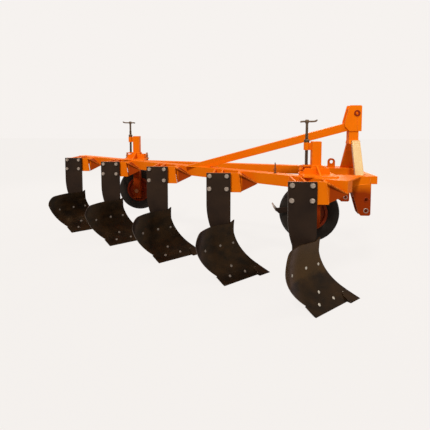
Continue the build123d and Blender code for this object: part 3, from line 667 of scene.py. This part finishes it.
bead = bmesh.new()
topLow = tower["topAlong"] - tower["topHalf"]
topHigh = tower["topAlong"] + tower["topHalf"]
neckHeight = tower["headBottom"] - tower["neckGap"]
for side, foot in ((-1, tower["nearFoot"]), (1, tower["farFoot"])):
    port = hitch["port"] + side * hitch["spread"]
    half = tower["footHalf"]
    corners = [(foot[0], port - half), (foot[1], port - half), (foot[1], port + half), (foot[0], port + half)]
    addWeldLoop(bead, [at(along, across, frameTop) for along, across in corners])
    face = hitch["port"] + side * tower["neckHalf"]
    addLevel(bead, topLow, topHigh, face + side * tower["topOut"], tower["topHeight"])
    cheek = hitch["port"] + side * tower["cheekOut"]
    addUpright(bead, tower["lugAlong"], cheek, tower["lugLow"], tower["lugTop"], weldSize["lug"])
    addLevel(bead, *tower["neckSpan"], face, neckHeight, weldSize["plate"])
    for edge in (-1, 1):
        face = port + edge * hitch["railWidth"] / 2
        addUpright(bead, hitch["railFront"], face, hitchSeams["railFrontLow"], hitchSeams["top"])
        addUpright(bead, hitch["railRear"], face, hitchSeams["railRearLow"], hitchSeams["top"])
        inset = face - edge * hitchSeams["clevisInset"]
        rear = at(hitch["clevisRear"] + hitchSeams["clevisInset"], inset, hitchSeams["clevisRearLow"])
        addWeld(bead, rear, at(hitch["clevisFront"], inset, hitch["railBottomFront"]), weldSize["plate"])
eyeLow = hitch["eyeAlong"] - hitch["eyeHalf"]
eyeHigh = hitch["eyeAlong"] + hitch["eyeHalf"]
for edge in (-hitch["eyeFace"], hitch["eyeFace"]):
    addLevel(bead, eyeLow, eyeHigh, hitch["port"] + hitch["spread"] + edge, frameTop, weldSize["eye"])
addPiece("headstockWelds", bead, orangePaint)

bead = bmesh.new()
braceNear = hitch["port"] - brace["half"]
braceFar = hitch["port"] + brace["half"]
for port in (braceNear, braceFar):
    addUpright(bead, tower["headRear"], port, brace["headLow"], brace["headHigh"], weldSize["plate"])
topStart = at(tower["headRear"], braceNear, brace["headTop"])
topEnd = at(tower["headRear"], braceFar, brace["headTop"])
addWeld(bead, topStart, topEnd, weldSize["plate"])
for start, end in (brace["nearFoot"], brace["farFoot"]):
    addWeld(bead, at(*start, frameTop), at(*end, frameTop), weldSize["plate"])
for edge in (-hitch["landHalf"], hitch["landHalf"]):
    addUpright(bead, hitch["railFront"], hitch["landPort"] + edge, hitchSeams["landLow"], hitchSeams["top"])
slope = tan(plan["landSlope"])
for edge in (-hitch["landRearHalf"], hitch["landRearHalf"]):
    # The land beam meets the main beam where both lines have the same port distance
    across = hitch["landPort"] + edge / cos(plan["landSlope"]) + slope * hitch["railFront"]
    along = (plan["beamFar"] / cos(beamTurn) - across) / (tan(beamTurn) - slope)
    addUpright(bead, along, across - slope * along, hitchSeams["landLow"], hitchSeams["top"])
addPiece("braceWelds", bead, orangePaint)
print("weld beads laid")


# Plates that close the open tube ends, each a little inside its tube
capPlate = {"inside": 0.004, "thick": 0.005, "gap": 0.0005, "weldIn": 0.001}


def addCap(shape, centre, first, second, inward):
    # centre of the open end, half spans along first and second, and the way into the tube
    way = Vector(inward).normalized()
    spot = centre + way * capPlate["inside"]
    corners = [spot + first + second, spot - first + second, spot - first - second, spot + first - second]
    addBlock(shape, corners, way * capPlate["thick"])
    seam = [corner + (spot - corner).normalized() * capPlate["weldIn"] for corner in corners]
    addWeldLoop(shape, seam, weldSize["cap"])


caps = bmesh.new()
beamWay = Vector((cos(beamTurn), -sin(beamTurn), 0))
beamAcross = Vector((sin(beamTurn), cos(beamTurn), 0))
halfWide = (plan["beamFar"] - plan["beamNear"]) / 2 - plan["beamWall"] - capPlate["gap"]
halfHigh = (frameTop - frameBottom) / 2 - plan["beamWall"] - capPlate["gap"]
beamMiddle = (plan["beamFar"] + plan["beamNear"]) / 2
endMiddle = beamPoint(plan["beamRearEnd"], beamMiddle, (frameTop + frameBottom) / 2)
addCap(caps, endMiddle, beamAcross * halfWide, Vector((0, 0, halfHigh)), beamWay)
tubeHalf = hitch["tube"] / 2 - hitch["wall"] - capPlate["gap"]
tubeHigh = (frameTop - hitch["railBottomFront"]) / 2 - hitch["wall"] - capPlate["gap"]
tubeMiddle = (frameTop + hitch["railBottomFront"]) / 2
tubeEnd = at(hitch["railFront"] + hitch["tube"] / 2, hitch["tubePortEnd"], tubeMiddle)
addCap(caps, tubeEnd, Vector((tubeHalf, 0, 0)), Vector((0, 0, tubeHigh)), (0, -1, 0))
addPiece("tubeCaps", caps, orangePaint)


# Depth wheels
wheels = {
    "front": {"along": 0.071, "port": 0.395, "hub": 0.522, "top": 1.122, "setback": 0.020,
              "turn": radians(12), "clampBolts": (-1,)},
    "rear": {"along": -1.724, "port": 1.620, "hub": 0.485, "top": 1.124, "setback": 0.002,
             "turn": radians(186), "clampBolts": (-1, 1)},
}
wheelSizes = {"postHalf": 0.036, "postWall": 0.006, "postBelowHub": 0.085, "wheelOut": 0.131}
tread = {
    "segments": 120, "radius": 0.248, "shoulder": 0.233, "treadHalf": 0.060, "half": 0.070, "bead": 0.1273,
    "flange": 0.1423, "beadHalf": 0.048, "grooves": (-0.041, -0.014, 0.014, 0.041), "grooveHalf": 0.0032,
    "grooveSlope": 0.001, "depth": 0.0065, "zigzag": 0.0028, "zigSteps": 6, "sipe": 0.003, "sipeEvery": 4,
    "sipeSteps": 2, "sipeSlope": 0.5, "sharp": 30,
}
sideWall = {
    "steps": 9, "bulgeFrom": 0.10, "bulgeSpan": 0.80, "bulgePower": 0.8, "inset": 0.0008, "widestAt": 0.55,
    "fall": 0.25, "ribs": {2: 0.0012, 6: 0.0016},  # raised ribs, by step of the wall
}


def crownRadius(across):
    # The tread curves gently from shoulder to shoulder through the crown
    drop = tread["radius"] - tread["shoulder"]
    return tread["radius"] - drop * (across / tread["treadHalf"]) ** 2


def wallPoint(share):
    # A bulging side from the flange (0) to the shoulder (1)
    radius = tread["flange"] + (tread["shoulder"] - tread["flange"]) * share
    bulge = sin(pi * (sideWall["bulgeFrom"] + sideWall["bulgeSpan"] * share)) ** sideWall["bulgePower"]
    straight = tread["beadHalf"] + (tread["treadHalf"] - tread["beadHalf"]) * share
    widest = tread["half"] - sideWall["inset"]
    fullness = 1 - abs(share - sideWall["widestAt"]) * sideWall["fall"]
    return radius, straight + (widest - straight) * bulge * fullness


def tyreLoop(step):
    # The tyre's section at one step round the wheel, as (radius, place across) pairs
    swing = abs((step % tread["zigSteps"]) / (tread["zigSteps"] / 2) - 1) * 2 - 1
    wander = tread["zigzag"] * swing
    loop = [(tread["bead"], -tread["beadHalf"]), (tread["bead"], tread["beadHalf"])]
    wall = [wallPoint(index / sideWall["steps"]) for index in range(sideWall["steps"] + 1)]
    side = [(radius, across + sideWall["ribs"].get(index, 0)) for index, (radius, across) in enumerate(wall)]
    if step % tread["sipeEvery"] < tread["sipeSteps"]:
        radius, across = side[-1]
        side[-1] = (radius - tread["sipe"], across - tread["sipe"] * tread["sipeSlope"])
    crown = []
    for place in reversed(tread["grooves"]):
        middle = place + wander
        outer = middle + tread["grooveHalf"]
        inner = middle - tread["grooveHalf"]
        floor = crownRadius(middle) - tread["depth"]
        crown += [(crownRadius(outer), outer), (floor, outer - tread["grooveSlope"])]
        crown += [(floor, inner + tread["grooveSlope"]), (crownRadius(inner), inner)]
    loop += side + crown + [(radius, -across) for radius, across in reversed(side)]
    return loop


def addTyre(name, hubPoint):
    shape = bmesh.new()
    rings = []
    for step in range(tread["segments"]):
        angle = 2 * pi * step / tread["segments"]
        outward = Vector((cos(angle), 0, sin(angle)))
        ring = []
        for radius, across in tyreLoop(step):
            ring.append(shape.verts.new(hubPoint + outward * radius + Vector((0, across, 0))))
        rings.append(ring)
    joinRings(shape, rings, True)
    tyrePiece = addPiece(f"tyreWithTread_{name}", shape, tyreRubber, f"{name}_wheel", tread["sharp"])
    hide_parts(f"tyre_{name}")


wheelNuts = {"count": 5, "radius": 0.062, "disc": -0.0315, "size": 0.66, "turn": 0.3}
rimWelds = {
    "radius": 0.1215, "disc": -0.0365, "size": 0.0035, "sides": 8, "segments": 72,
    "hub": ((0.0315, -0.0405), (0.036, -0.0365), (0.0315, -0.0345)), "hubSegments": 48,
}
valve = {
    "radius": 0.104, "disc": -0.035, "sides": 16,
    "stem": ((0, 0), (0.0075, 0), (0.0065, 0.005), (0.0042, 0.008), (0.0040, 0.020), (0.0052, 0.021),
             (0.0052, 0.030), (0.0042, 0.032), (0, 0.032)),
}


def addWheelNuts(name, hubPoint):
    shape = bmesh.new()
    for index in range(wheelNuts["count"]):
        angle = 2 * pi * index / wheelNuts["count"] + wheelNuts["turn"]
        outward = Vector((cos(angle), 0, sin(angle))) * wheelNuts["radius"]
        seat = hubPoint + outward + Vector((0, wheelNuts["disc"], 0))
        addNut(shape, seat, (0, -1, 0), wheelNuts["size"], angle)
    addPiece(f"wheelNuts_{name}", shape, redPaint, f"{name}_wheel")


def addRimWelds(name, hubPoint):
    shape = bmesh.new()
    loop = []
    for step in range(rimWelds["sides"]):
        angle = 2 * pi * step / rimWelds["sides"]
        across = rimWelds["disc"] + rimWelds["size"] * sin(angle)
        loop.append((rimWelds["radius"] + rimWelds["size"] * cos(angle), across))
    addRing(shape, loop, hubPoint, (0, 1, 0), rimWelds["segments"])
    addRing(shape, rimWelds["hub"], hubPoint, (0, 1, 0), rimWelds["hubSegments"])
    addPiece(f"rimWelds_{name}", shape, redPaint, f"{name}_wheel")


def addValve(name, hubPoint):
    shape = bmesh.new()
    foot = hubPoint + Vector((0, valve["disc"], valve["radius"]))
    addTurned(shape, valve["stem"], foot, (0, -1, 0), valve["sides"])
    addPiece(f"valve_{name}", shape, tyreRubber, f"{name}_wheel")


axleEnds = {
    "washer": ((0.0153, 0), (0.0235, 0), (0.0235, 0.003), (0.0153, 0.003)),
    "head": ((0, 0.0035), (0.0190, 0.0035), (0.0196, 0.005), (0.0196, 0.016), (0.0175, 0.0185), (0, 0.0185)),
    "cap": ((0, -0.004), (0.022, -0.004), (0.022, 0.010), (0.019, 0.018), (0.010, 0.022), (0, 0.023)),
    "headTurn": 0.4, "hubEnd": 0.052, "capOut": 0.011, "sides": 32,
}


def addAxleEnds(name, place, hubPoint):
    nearFace = at(place["along"] - place["setback"], place["port"] - wheelSizes["postHalf"], place["hub"])
    shape = bmesh.new()
    addRing(shape, axleEnds["washer"], nearFace, (0, -1, 0), axleEnds["sides"])
    addTurned(shape, axleEnds["head"], nearFace, (0, -1, 0), turnedSides["hex"], axleEnds["headTurn"])
    farEnd = hubPoint + Vector((0, axleEnds["hubEnd"] + axleEnds["capOut"], 0))
    addTurned(shape, axleEnds["cap"], farEnd, (0, 1, 0), axleEnds["sides"])
    addPiece(f"axleEnds_{name}", shape, rustyBolt, f"{name}_post")


def addPostCap(name, place):
    shape = bmesh.new()
    inner = wheelSizes["postHalf"] - wheelSizes["postWall"] - capPlate["gap"]
    bottom = at(place["along"], place["port"], place["hub"] - wheelSizes["postBelowHub"])
    addCap(shape, bottom, Vector((inner, 0, 0)), Vector((0, inner, 0)), (0, 0, 1))
    addPiece(f"postCap_{name}", shape, shadedBelowPaint, f"{name}_post")


screwSizes = {
    "setback": 0.074, "low": 0.935, "threadTop": 1.185, "shankTop": 1.268, "overlap": 0.002, "radius": 0.013,
    "root": 0.0106, "shank": 0.0103, "pitch": 0.006, "crestEnd": 0.34, "rootStart": 0.50, "rootEnd": 0.84,
    "flank": 0.16, "rows": 6, "sides": 24, "sharp": 40,
}
screwHandle = {
    "height": 1.280, "boss": 0.015, "bossSides": 28, "bar": 0.007, "barSides": 14,
    # Places along the bar, its rise there and the share of its radius
    "barPlaces": ((-0.056, -0.004, 0.6), (-0.050, -0.002, 1), (-0.030, 0, 1), (0.040, 0, 1),
                  (0.062, 0.001, 1), (0.074, 0.004, 1), (0.082, 0.009, 0.95), (0.086, 0.014, 0.6)),
}
bossShares = ((0, -1), (0.80, -1), (1, -0.72), (1, 0.60), (0.72, 1), (0, 1))  # of the boss's half width
screwNut = {
    "belowTop": 0.010, "height": 0.026, "gap": 0.0005, "proud": 0.001, "bore": 0.0140, "face": 0.0205,
    "corner": 0.0222, "chamfer": 0.003, "flats": {"count": 6, "from": 0.0200}, "segments": 48,
}


def threadRadius(phase):
    # Flat crest, sloping flank, flat root, sloping flank
    crest = screwSizes["radius"]
    root = screwSizes["root"]
    if phase < screwSizes["crestEnd"]:
        return crest
    if phase < screwSizes["rootStart"]:
        return crest + (root - crest) * (phase - screwSizes["crestEnd"]) / screwSizes["flank"]
    if phase < screwSizes["rootEnd"]:
        return root
    return root + (crest - root) * (phase - screwSizes["rootEnd"]) / screwSizes["flank"]


def addScrewThread(shape, foot):
    # A real helix: the radius at each place follows the height less the turn round the axis
    pitch = screwSizes["pitch"]
    sides = screwSizes["sides"]
    low = screwSizes["low"]
    count = int((screwSizes["threadTop"] - low) / pitch * screwSizes["rows"])
    rings = [[shape.verts.new(foot + Vector((0, 0, low)))]]
    for row in range(count + 1):
        height = low + row * pitch / screwSizes["rows"]
        circle = []
        for side in range(sides):
            radius = threadRadius((height / pitch - side / sides) % 1)
            angle = 2 * pi * side / sides
            spot = Vector((radius * cos(angle), radius * sin(angle), height))
            circle.append(shape.verts.new(foot + spot))
        rings.append(circle)
    rings.append([shape.verts.new(foot + Vector((0, 0, screwSizes["threadTop"])))])
    joinRings(shape, rings)


def addScrewHandle(shape, foot, turn):
    height = screwHandle["height"]
    boss = screwHandle["boss"]
    block = [(boss * wide, height + boss * high) for wide, high in bossShares]
    addTurned(shape, block, foot, (0, 0, 1), screwHandle["bossSides"])
    way = Vector((cos(turn), sin(turn), 0))
    points = []
    radii = []
    for far, rise, share in screwHandle["barPlaces"]:
        points.append(foot + way * far + Vector((0, 0, height + rise)))
        radii.append(screwHandle["bar"] * share)
    addTube(shape, points, radii, screwHandle["barSides"])


def addScrew(name, place):
    shape = bmesh.new()
    foot = at(place["along"] - screwSizes["setback"], place["port"], 0)
    addScrewThread(shape, foot)
    shank = screwSizes["shank"]
    top = screwSizes["shankTop"]
    start = screwSizes["threadTop"] - screwSizes["overlap"]
    profile = [(0, start), (shank, start), (shank, top), (0, top)]
    addTurned(shape, profile, foot, (0, 0, 1), screwSizes["sides"])
    addScrewHandle(shape, foot, place["turn"])
    screwPiece = addPiece(f"screwWithHandle_{name}", shape, screwSteel, "frame", screwSizes["sharp"])
    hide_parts(f"screw_{name}")


def addScrewNut(name, place):
    shape = bmesh.new()
    foot = at(place["along"] - screwSizes["setback"], place["port"], 0)
    low = place["top"] - screwNut["belowTop"] + screwNut["gap"]
    high = low + screwNut["height"] + screwNut["proud"]
    chamfer = screwNut["chamfer"]
    corner = screwNut["corner"]
    loop = [(screwNut["bore"], low), (screwNut["face"], low), (corner, low + chamfer)]
    loop += [(corner, high - chamfer), (screwNut["face"], high), (screwNut["bore"], high)]
    addRing(shape, loop, foot, (0, 0, 1), screwNut["segments"], screwNut["flats"])
    addPiece(f"screwNut_{name}", shape, screwSteel, f"{name}_post")


holderSizes = {
    "half": 0.0445, "shelfTop": 0.869, "sleeveTop": 0.935, "shelfStarboard": 0.195, "shelfHalf": 0.130,
    "finReach": 0.104, "finHalf": 0.006, "finWeldShort": 0.01, "weldShort": 0.004,
    "cheekHalf": 0.102, "cheekTop": 0.046, "cheekThick": 0.008, "cheekSlope": 0.008,
}
clampBolt = {
    "along": 0.117, "shelf": 0.012, "nutSize": 0.92, "nutTurn": 0.2, "lockLift": 0.0250, "lockTurn": 0.7,
    "stud": 0.0105, "studLow": 0.012, "studTop": 0.064, "pitch": 0.0025, "headSize": 0.9, "headTurn": 0.4,
}


def addClampBolts(name, place):
    shape = bmesh.new()
    up = (0, 0, 1)
    for side in place["clampBolts"]:
        foot = at(place["along"] + side * clampBolt["along"], place["port"], holderSizes["shelfTop"])
        addNut(shape, foot, up, clampBolt["nutSize"], clampBolt["nutTurn"])
        lockNut = foot + Vector((0, 0, clampBolt["lockLift"]))
        addNut(shape, lockNut, up, clampBolt["nutSize"], clampBolt["lockTurn"])
        thread = (clampBolt["stud"], clampBolt["studLow"], clampBolt["studTop"], clampBolt["pitch"])
        addThread(shape, foot, up, *thread)
        under = foot - Vector((0, 0, clampBolt["shelf"]))
        addHexHead(shape, under, (0, 0, -1), clampBolt["headSize"], clampBolt["headTurn"])
    addPiece(f"holderBolts_{name}", shape, rustyBolt if name == "rear" else orangePaint)


def addHolderCheeks(name, place):
    shape = bmesh.new()
    reach = holderSizes["cheekHalf"]
    slope = holderSizes["cheekSlope"]
    rise = Vector((0, 0, holderSizes["cheekTop"]))
    for side in (-1, 1):
        low = at(place["along"] - reach, place["port"] + side * holderSizes["half"], holderSizes["shelfTop"])
        corners = [low, low + Vector((2 * reach, 0, 0)), low + Vector((2 * reach - slope, 0, 0)) + rise,
                   low + Vector((slope, 0, 0)) + rise]
        addBlock(shape, corners, (0, side * holderSizes["cheekThick"], 0))
    addPiece(f"holderCheeks_{name}", shape, orangePaint)


def addHolderWelds(name, place):
    shape = bmesh.new()
    half = holderSizes["half"]
    top = holderSizes["shelfTop"]
    fin = holderSizes["finHalf"]
    corners = [(-half, -half), (half, -half), (half, half), (-half, half)]
    sleeveTop = holderSizes["sleeveTop"] - holderSizes["weldShort"]
    sleeve = [at(place["along"] + fore, place["port"] + across, top) for fore, across in corners]
    addWeldLoop(shape, sleeve, weldSize["sleeve"])
    for side in (-1, 1):
        for edge in (-fin, fin):
            inner = at(place["along"] + side * half, place["port"] + edge, top)
            outer = at(place["along"] + side * holderSizes["finReach"], place["port"] + edge, top)
            addWeld(shape, inner, outer, weldSize["plate"])
            upper = at(place["along"] + side * half, place["port"] + edge, sleeveTop)
            addWeld(shape, inner, upper, weldSize["plate"])
    edgePort = place["port"] - holderSizes["shelfStarboard"]
    for edge in (-fin, fin):
        inner = at(place["along"] + edge, place["port"] - half, top)
        outer = at(place["along"] + edge, edgePort + holderSizes["finWeldShort"], top)
        addWeld(shape, inner, outer, weldSize["plate"])
    low = max(place["along"] - holderSizes["shelfHalf"], beamAlong(plan["beamNear"], edgePort))
    high = min(place["along"] + holderSizes["shelfHalf"], beamAlong(plan["beamFar"], edgePort))
    addLevel(shape, low + holderSizes["weldShort"], high - holderSizes["weldShort"], edgePort, frameTop)
    addPiece(f"holderWelds_{name}", shape, orangePaint)


for name, place in wheels.items():
    random.seed(seeds["wheels"])
    hubPoint = at(place["along"] - place["setback"], place["port"] + wheelSizes["wheelOut"], place["hub"])
    addTyre(name, hubPoint)
    addWheelNuts(name, hubPoint)
    addRimWelds(name, hubPoint)
    addValve(name, hubPoint)
    addAxleEnds(name, place, hubPoint)
    addPostCap(name, place)
    addScrew(name, place)
    addScrewNut(name, place)
    addClampBolts(name, place)
    addHolderCheeks(name, place)
    addHolderWelds(name, place)
print("wheels, screws and holders dressed")


# Scraper behind the front tyre, held by the front post
scraper = {
    "arm": ((0.100, 0.602), (0.100, 0.562), (-0.206, 0.530), (-0.234, 0.546), (-0.234, 0.572)),
    "armPort": (0.4313, 0.4413),
    "blade": ((-0.204, 0.532), (-0.211, 0.526), (-0.246, 0.566), (-0.239, 0.573)),
    "bladePort": (0.4413, 0.592),
    "bladeLap": 0.0006,
    "weld": ((-0.211, 0.535), (-0.236, 0.564)),
    "tip": ((-0.2350, 0.5700), (-0.2475, 0.5600), (-0.2560, 0.5770), (-0.2470, 0.5850)),
    "tipShort": 0.002,
}
scraperBolts = {
    "arm": (0.055, 0.086), "armHeight": 0.582, "armSize": 0.62, "armTurn": 0.3, "bladePorts": (0.470, 0.562),
    "blade": (-0.2300, 0.5478), "bladeOut": (-0.064, 0, -0.054), "bladeSize": 0.55, "bladeTurn": 0.2,
}
shape = bmesh.new()
armNear, armFar = scraper["armPort"]
bladeNear, bladeFar = scraper["bladePort"]
armCorners = [at(along, armNear, height) for along, height in scraper["arm"]]
addBlock(shape, armCorners, (0, armFar - armNear, 0))
bladeCorners = [at(along, bladeNear - scraper["bladeLap"], height) for along, height in scraper["blade"]]
addBlock(shape, bladeCorners, (0, bladeFar - bladeNear, 0))
weldLow, weldHigh = [at(along, bladeNear, height) for along, height in scraper["weld"]]
addWeld(shape, weldLow, weldHigh, weldSize["blade"])
addPiece("scraper", shape, legBlack, "front_post")
shape = bmesh.new()
for along in scraperBolts["arm"]:
    spot = at(along, armFar, scraperBolts["armHeight"])
    addHexHead(shape, spot, (0, 1, 0), scraperBolts["armSize"], scraperBolts["armTurn"])
for across in scraperBolts["bladePorts"]:
    spot = at(scraperBolts["blade"][0], across, scraperBolts["blade"][1])
    addHexHead(shape, spot, scraperBolts["bladeOut"], scraperBolts["bladeSize"], scraperBolts["bladeTurn"])
tipCorners = [at(along, bladeNear, height) for along, height in scraper["tip"]]
addBlock(shape, tipCorners, (0, bladeFar - bladeNear - scraper["tipShort"], 0))
addPiece("scraperBolts", shape, boltZinc, "front_post")


# Bushings of the lower link bores, and dark red rings of the top link bore: painted shade for the dark inside
# of that bore
linkBores = {
    "along": 0.444, "heights": {"Upper": 0.674, "Lower": 0.588}, "inner": 0.0146, "outer": 0.0195,
    "proud": 0.0022, "chamfer": 0.001, "segments": 32,
}
topBore = {
    "along": 0.443, "height": 1.351, "inner": 0.0132, "outer": 0.026, "proud": 0.004, "chamfer": 0.0015,
    "segments": 40,
}
boreSet = {"sunk": 0.001, "straightShare": 0.6}


def addBush(shape, sizes, face, height, side):
    inner = sizes["inner"]
    outer = sizes["outer"]
    proud = sizes["proud"]
    loop = [(inner, -boreSet["sunk"]), (outer, -boreSet["sunk"]), (outer, proud * boreSet["straightShare"])]
    loop += [(outer - sizes["chamfer"], proud), (inner, proud)]
    addRing(shape, loop, at(sizes["along"], face, height), (0, side, 0), sizes["segments"])


for level, material in (("Upper", redPaint), ("Lower", boltZinc)):
    shape = bmesh.new()
    for side in (-1, 1):
        for edge in (-1, 1):
            face = hitch["port"] + side * hitch["spread"] + edge * hitch["railWidth"] / 2
            addBush(shape, linkBores, face, linkBores["heights"][level], edge)
    addPiece(f"linkBore{level}", shape, material)
shape = bmesh.new()
for side in (-1, 1):
    addBush(shape, topBore, hitch["port"] + side * tower["cheekOut"], topBore["height"], side)
addPiece("topBoreShadeRings", shape, redPaint)

# A stop pin on the beam, with its split ring
stopPin = {
    "along": -0.243, "port": 0.455, "radius": 0.0048, "top": 0.088, "foot": 0.011, "footHigh": 0.006,
    "neckShare": 1.5, "neckHigh": 0.010, "stemFrom": 0.012, "tipHigh": 0.003, "tipShare": 0.6, "sides": 16,
    "ringHeight": 0.030, "ringRadius": 0.012, "ringWire": 0.002, "ringPoints": 25, "ringSpan": 0.97,
    "ringSides": 8,
}
shape = bmesh.new()
pinFoot = at(stopPin["along"], stopPin["port"], frameTop)
stem = stopPin["radius"]
height = stopPin["top"]
profile = [(0, 0), (stopPin["foot"], 0), (stopPin["foot"], stopPin["footHigh"])]
profile += [(stem * stopPin["neckShare"], stopPin["neckHigh"]), (stem, stopPin["stemFrom"])]
profile += [(stem, height - stopPin["tipHigh"]), (stem * stopPin["tipShare"], height), (0, height)]
addTurned(shape, profile, pinFoot, (0, 0, 1), stopPin["sides"])
ringPoints = []
for step in range(stopPin["ringPoints"]):
    angle = 2 * pi * step / stopPin["ringPoints"] * stopPin["ringSpan"]
    across = stopPin["ringRadius"] * cos(angle)
    rise = stopPin["ringHeight"] + stopPin["ringRadius"] * sin(angle)
    ringPoints.append(pinFoot + Vector((across, 0, rise)))
addTube(shape, ringPoints, [stopPin["ringWire"]] * stopPin["ringPoints"], stopPin["ringSides"])
addPiece("stopPin", shape, screwSteel)
print("scraper, bushings and pin made")


# Stage, lights and camera
stage = {
    "seen": (0.9216, 0.8879, 0.8632), "floor": (0.34, 0.325, 0.31), "floorGlow": (0.985, 0.950, 0.922),
    "floorRough": 0.9, "seenShare": 0.88, "size": 60.0, "worldFill": 0.30,
}


def whereSeen(nodes, links):
    # One where a camera, mirror or glass ray asks, zero for the light that falls on the plough
    path = nodes.new("ShaderNodeLightPath")
    first = mathOf(nodes, links, "MAXIMUM", path.outputs["Is Camera Ray"], path.outputs["Is Glossy Ray"])
    return mathOf(nodes, links, "MAXIMUM", first, path.outputs["Is Transmission Ray"])


def makeFloor():
    shape = bmesh.new()
    half = stage["size"] / 2
    outline = ((-half, -half), (half, -half), (half, half), (-half, half))
    shape.faces.new([shape.verts.new((x, y, 0)) for x, y in outline])
    mesh = bpy.data.meshes.new("floor")
    shape.to_mesh(mesh)
    shape.free()
    floor = bpy.data.objects.new("floor", mesh)
    bpy.context.scene.collection.objects.link(floor)
    material = bpy.data.materials.new("paleFloor")
    material.use_nodes = True
    nodes = material.node_tree.nodes
    links = material.node_tree.links
    shader = nodes["Principled BSDF"]
    shader.inputs["Base Color"].default_value = (*stage["floor"], 1)
    shader.inputs["Roughness"].default_value = stage["floorRough"]
    shader.inputs["Specular IOR Level"].default_value = 0.0
    glow = nodes.new("ShaderNodeEmission")
    glow.inputs["Color"].default_value = (*stage["floorGlow"], 1)
    mix = nodes.new("ShaderNodeMixShader")
    share = mathOf(nodes, links, "MULTIPLY", whereSeen(nodes, links), stage["seenShare"])
    links.new(share, mix.inputs["Fac"])
    links.new(shader.outputs["BSDF"], mix.inputs[1])
    links.new(glow.outputs["Emission"], mix.inputs[2])
    links.new(mix.outputs["Shader"], nodes["Material Output"].inputs["Surface"])
    mesh.materials.append(material)


def makeWorld():
    world = bpy.data.worlds.new("studio")
    bpy.context.scene.world = world
    world.use_nodes = True
    nodes = world.node_tree.nodes
    links = world.node_tree.links
    background = nodes["Background"]
    background.inputs["Color"].default_value = (*stage["seen"], 1)
    level = ranged(nodes, links, whereSeen(nodes, links), (0, 1), stage["worldFill"], 1.0)
    links.new(level, background.inputs["Strength"])


lampColour = (1.0, 0.97, 0.93)
lamps = {
    "keySun": {"kind": "SUN", "place": (-1.3, -3.7, 4.4), "aim": (0.1, -0.1, 0.5), "strength": 2.7,
               "soft": radians(10)},
    "topLamp": {"kind": "AREA", "place": (2.31, -1.25, 3.32), "aim": (1.49, -0.445, 0.99), "strength": 34,
                "soft": 0.9},
    "backLamp": {"kind": "AREA", "place": (-3.4, 3.6, 3.0), "aim": (-0.2, 0.3, 0.6), "strength": 70,
                 "soft": 2.2},
    "portLamp": {"kind": "AREA", "place": (2.4, 4.4, 2.6), "aim": (0.2, 0.2, 0.6), "strength": 70,
                 "soft": 2.2},
}


def makeLamps():
    for name, lamp in lamps.items():
        light = bpy.data.lights.new(name, lamp["kind"])
        if lamp["kind"] == "SUN":
            light.angle = lamp["soft"]
        else:
            light.size = lamp["soft"]
        light.energy = lamp["strength"]
        light.color = lampColour
        holder = bpy.data.objects.new(name, light)
        holder.location = lamp["place"]
        aim = Vector(lamp["aim"]) - Vector(lamp["place"])
        holder.rotation_euler = aim.to_track_quat("-Z", "Y").to_euler()
        bpy.context.scene.collection.objects.link(holder)


cameraSet = {
    "place": (-0.5622, -2.4721, 1.2488),
    "pitch": radians(90 - 3.953),
    "yaw": radians(3.438),
    "focal": 355.3,
    "imageWide": 430,
    "middleHigh": 150.0,
    "sensor": 36.0,
    "clipEnd": 200.0,
}


def makeCamera():
    lens = bpy.data.cameras.new("camera")
    lens.sensor_fit = "HORIZONTAL"
    lens.sensor_width = cameraSet["sensor"]
    lens.lens = cameraSet["sensor"] * cameraSet["focal"] / cameraSet["imageWide"]
    lens.shift_y = (cameraSet["middleHigh"] - cameraSet["imageWide"] / 2) / cameraSet["imageWide"]
    lens.clip_end = cameraSet["clipEnd"]
    lens.dof.use_dof = False
    camera = bpy.data.objects.new("camera", lens)
    camera.location = at(*cameraSet["place"])
    camera.rotation_euler = (cameraSet["pitch"], 0.0, cameraSet["yaw"])
    bpy.context.scene.collection.objects.link(camera)
    bpy.context.scene.camera = camera


makeFloor()
makeWorld()
makeLamps()
makeCamera()
bpy.context.scene.view_settings.view_transform = "Standard"
print("stage, lamps and camera set")
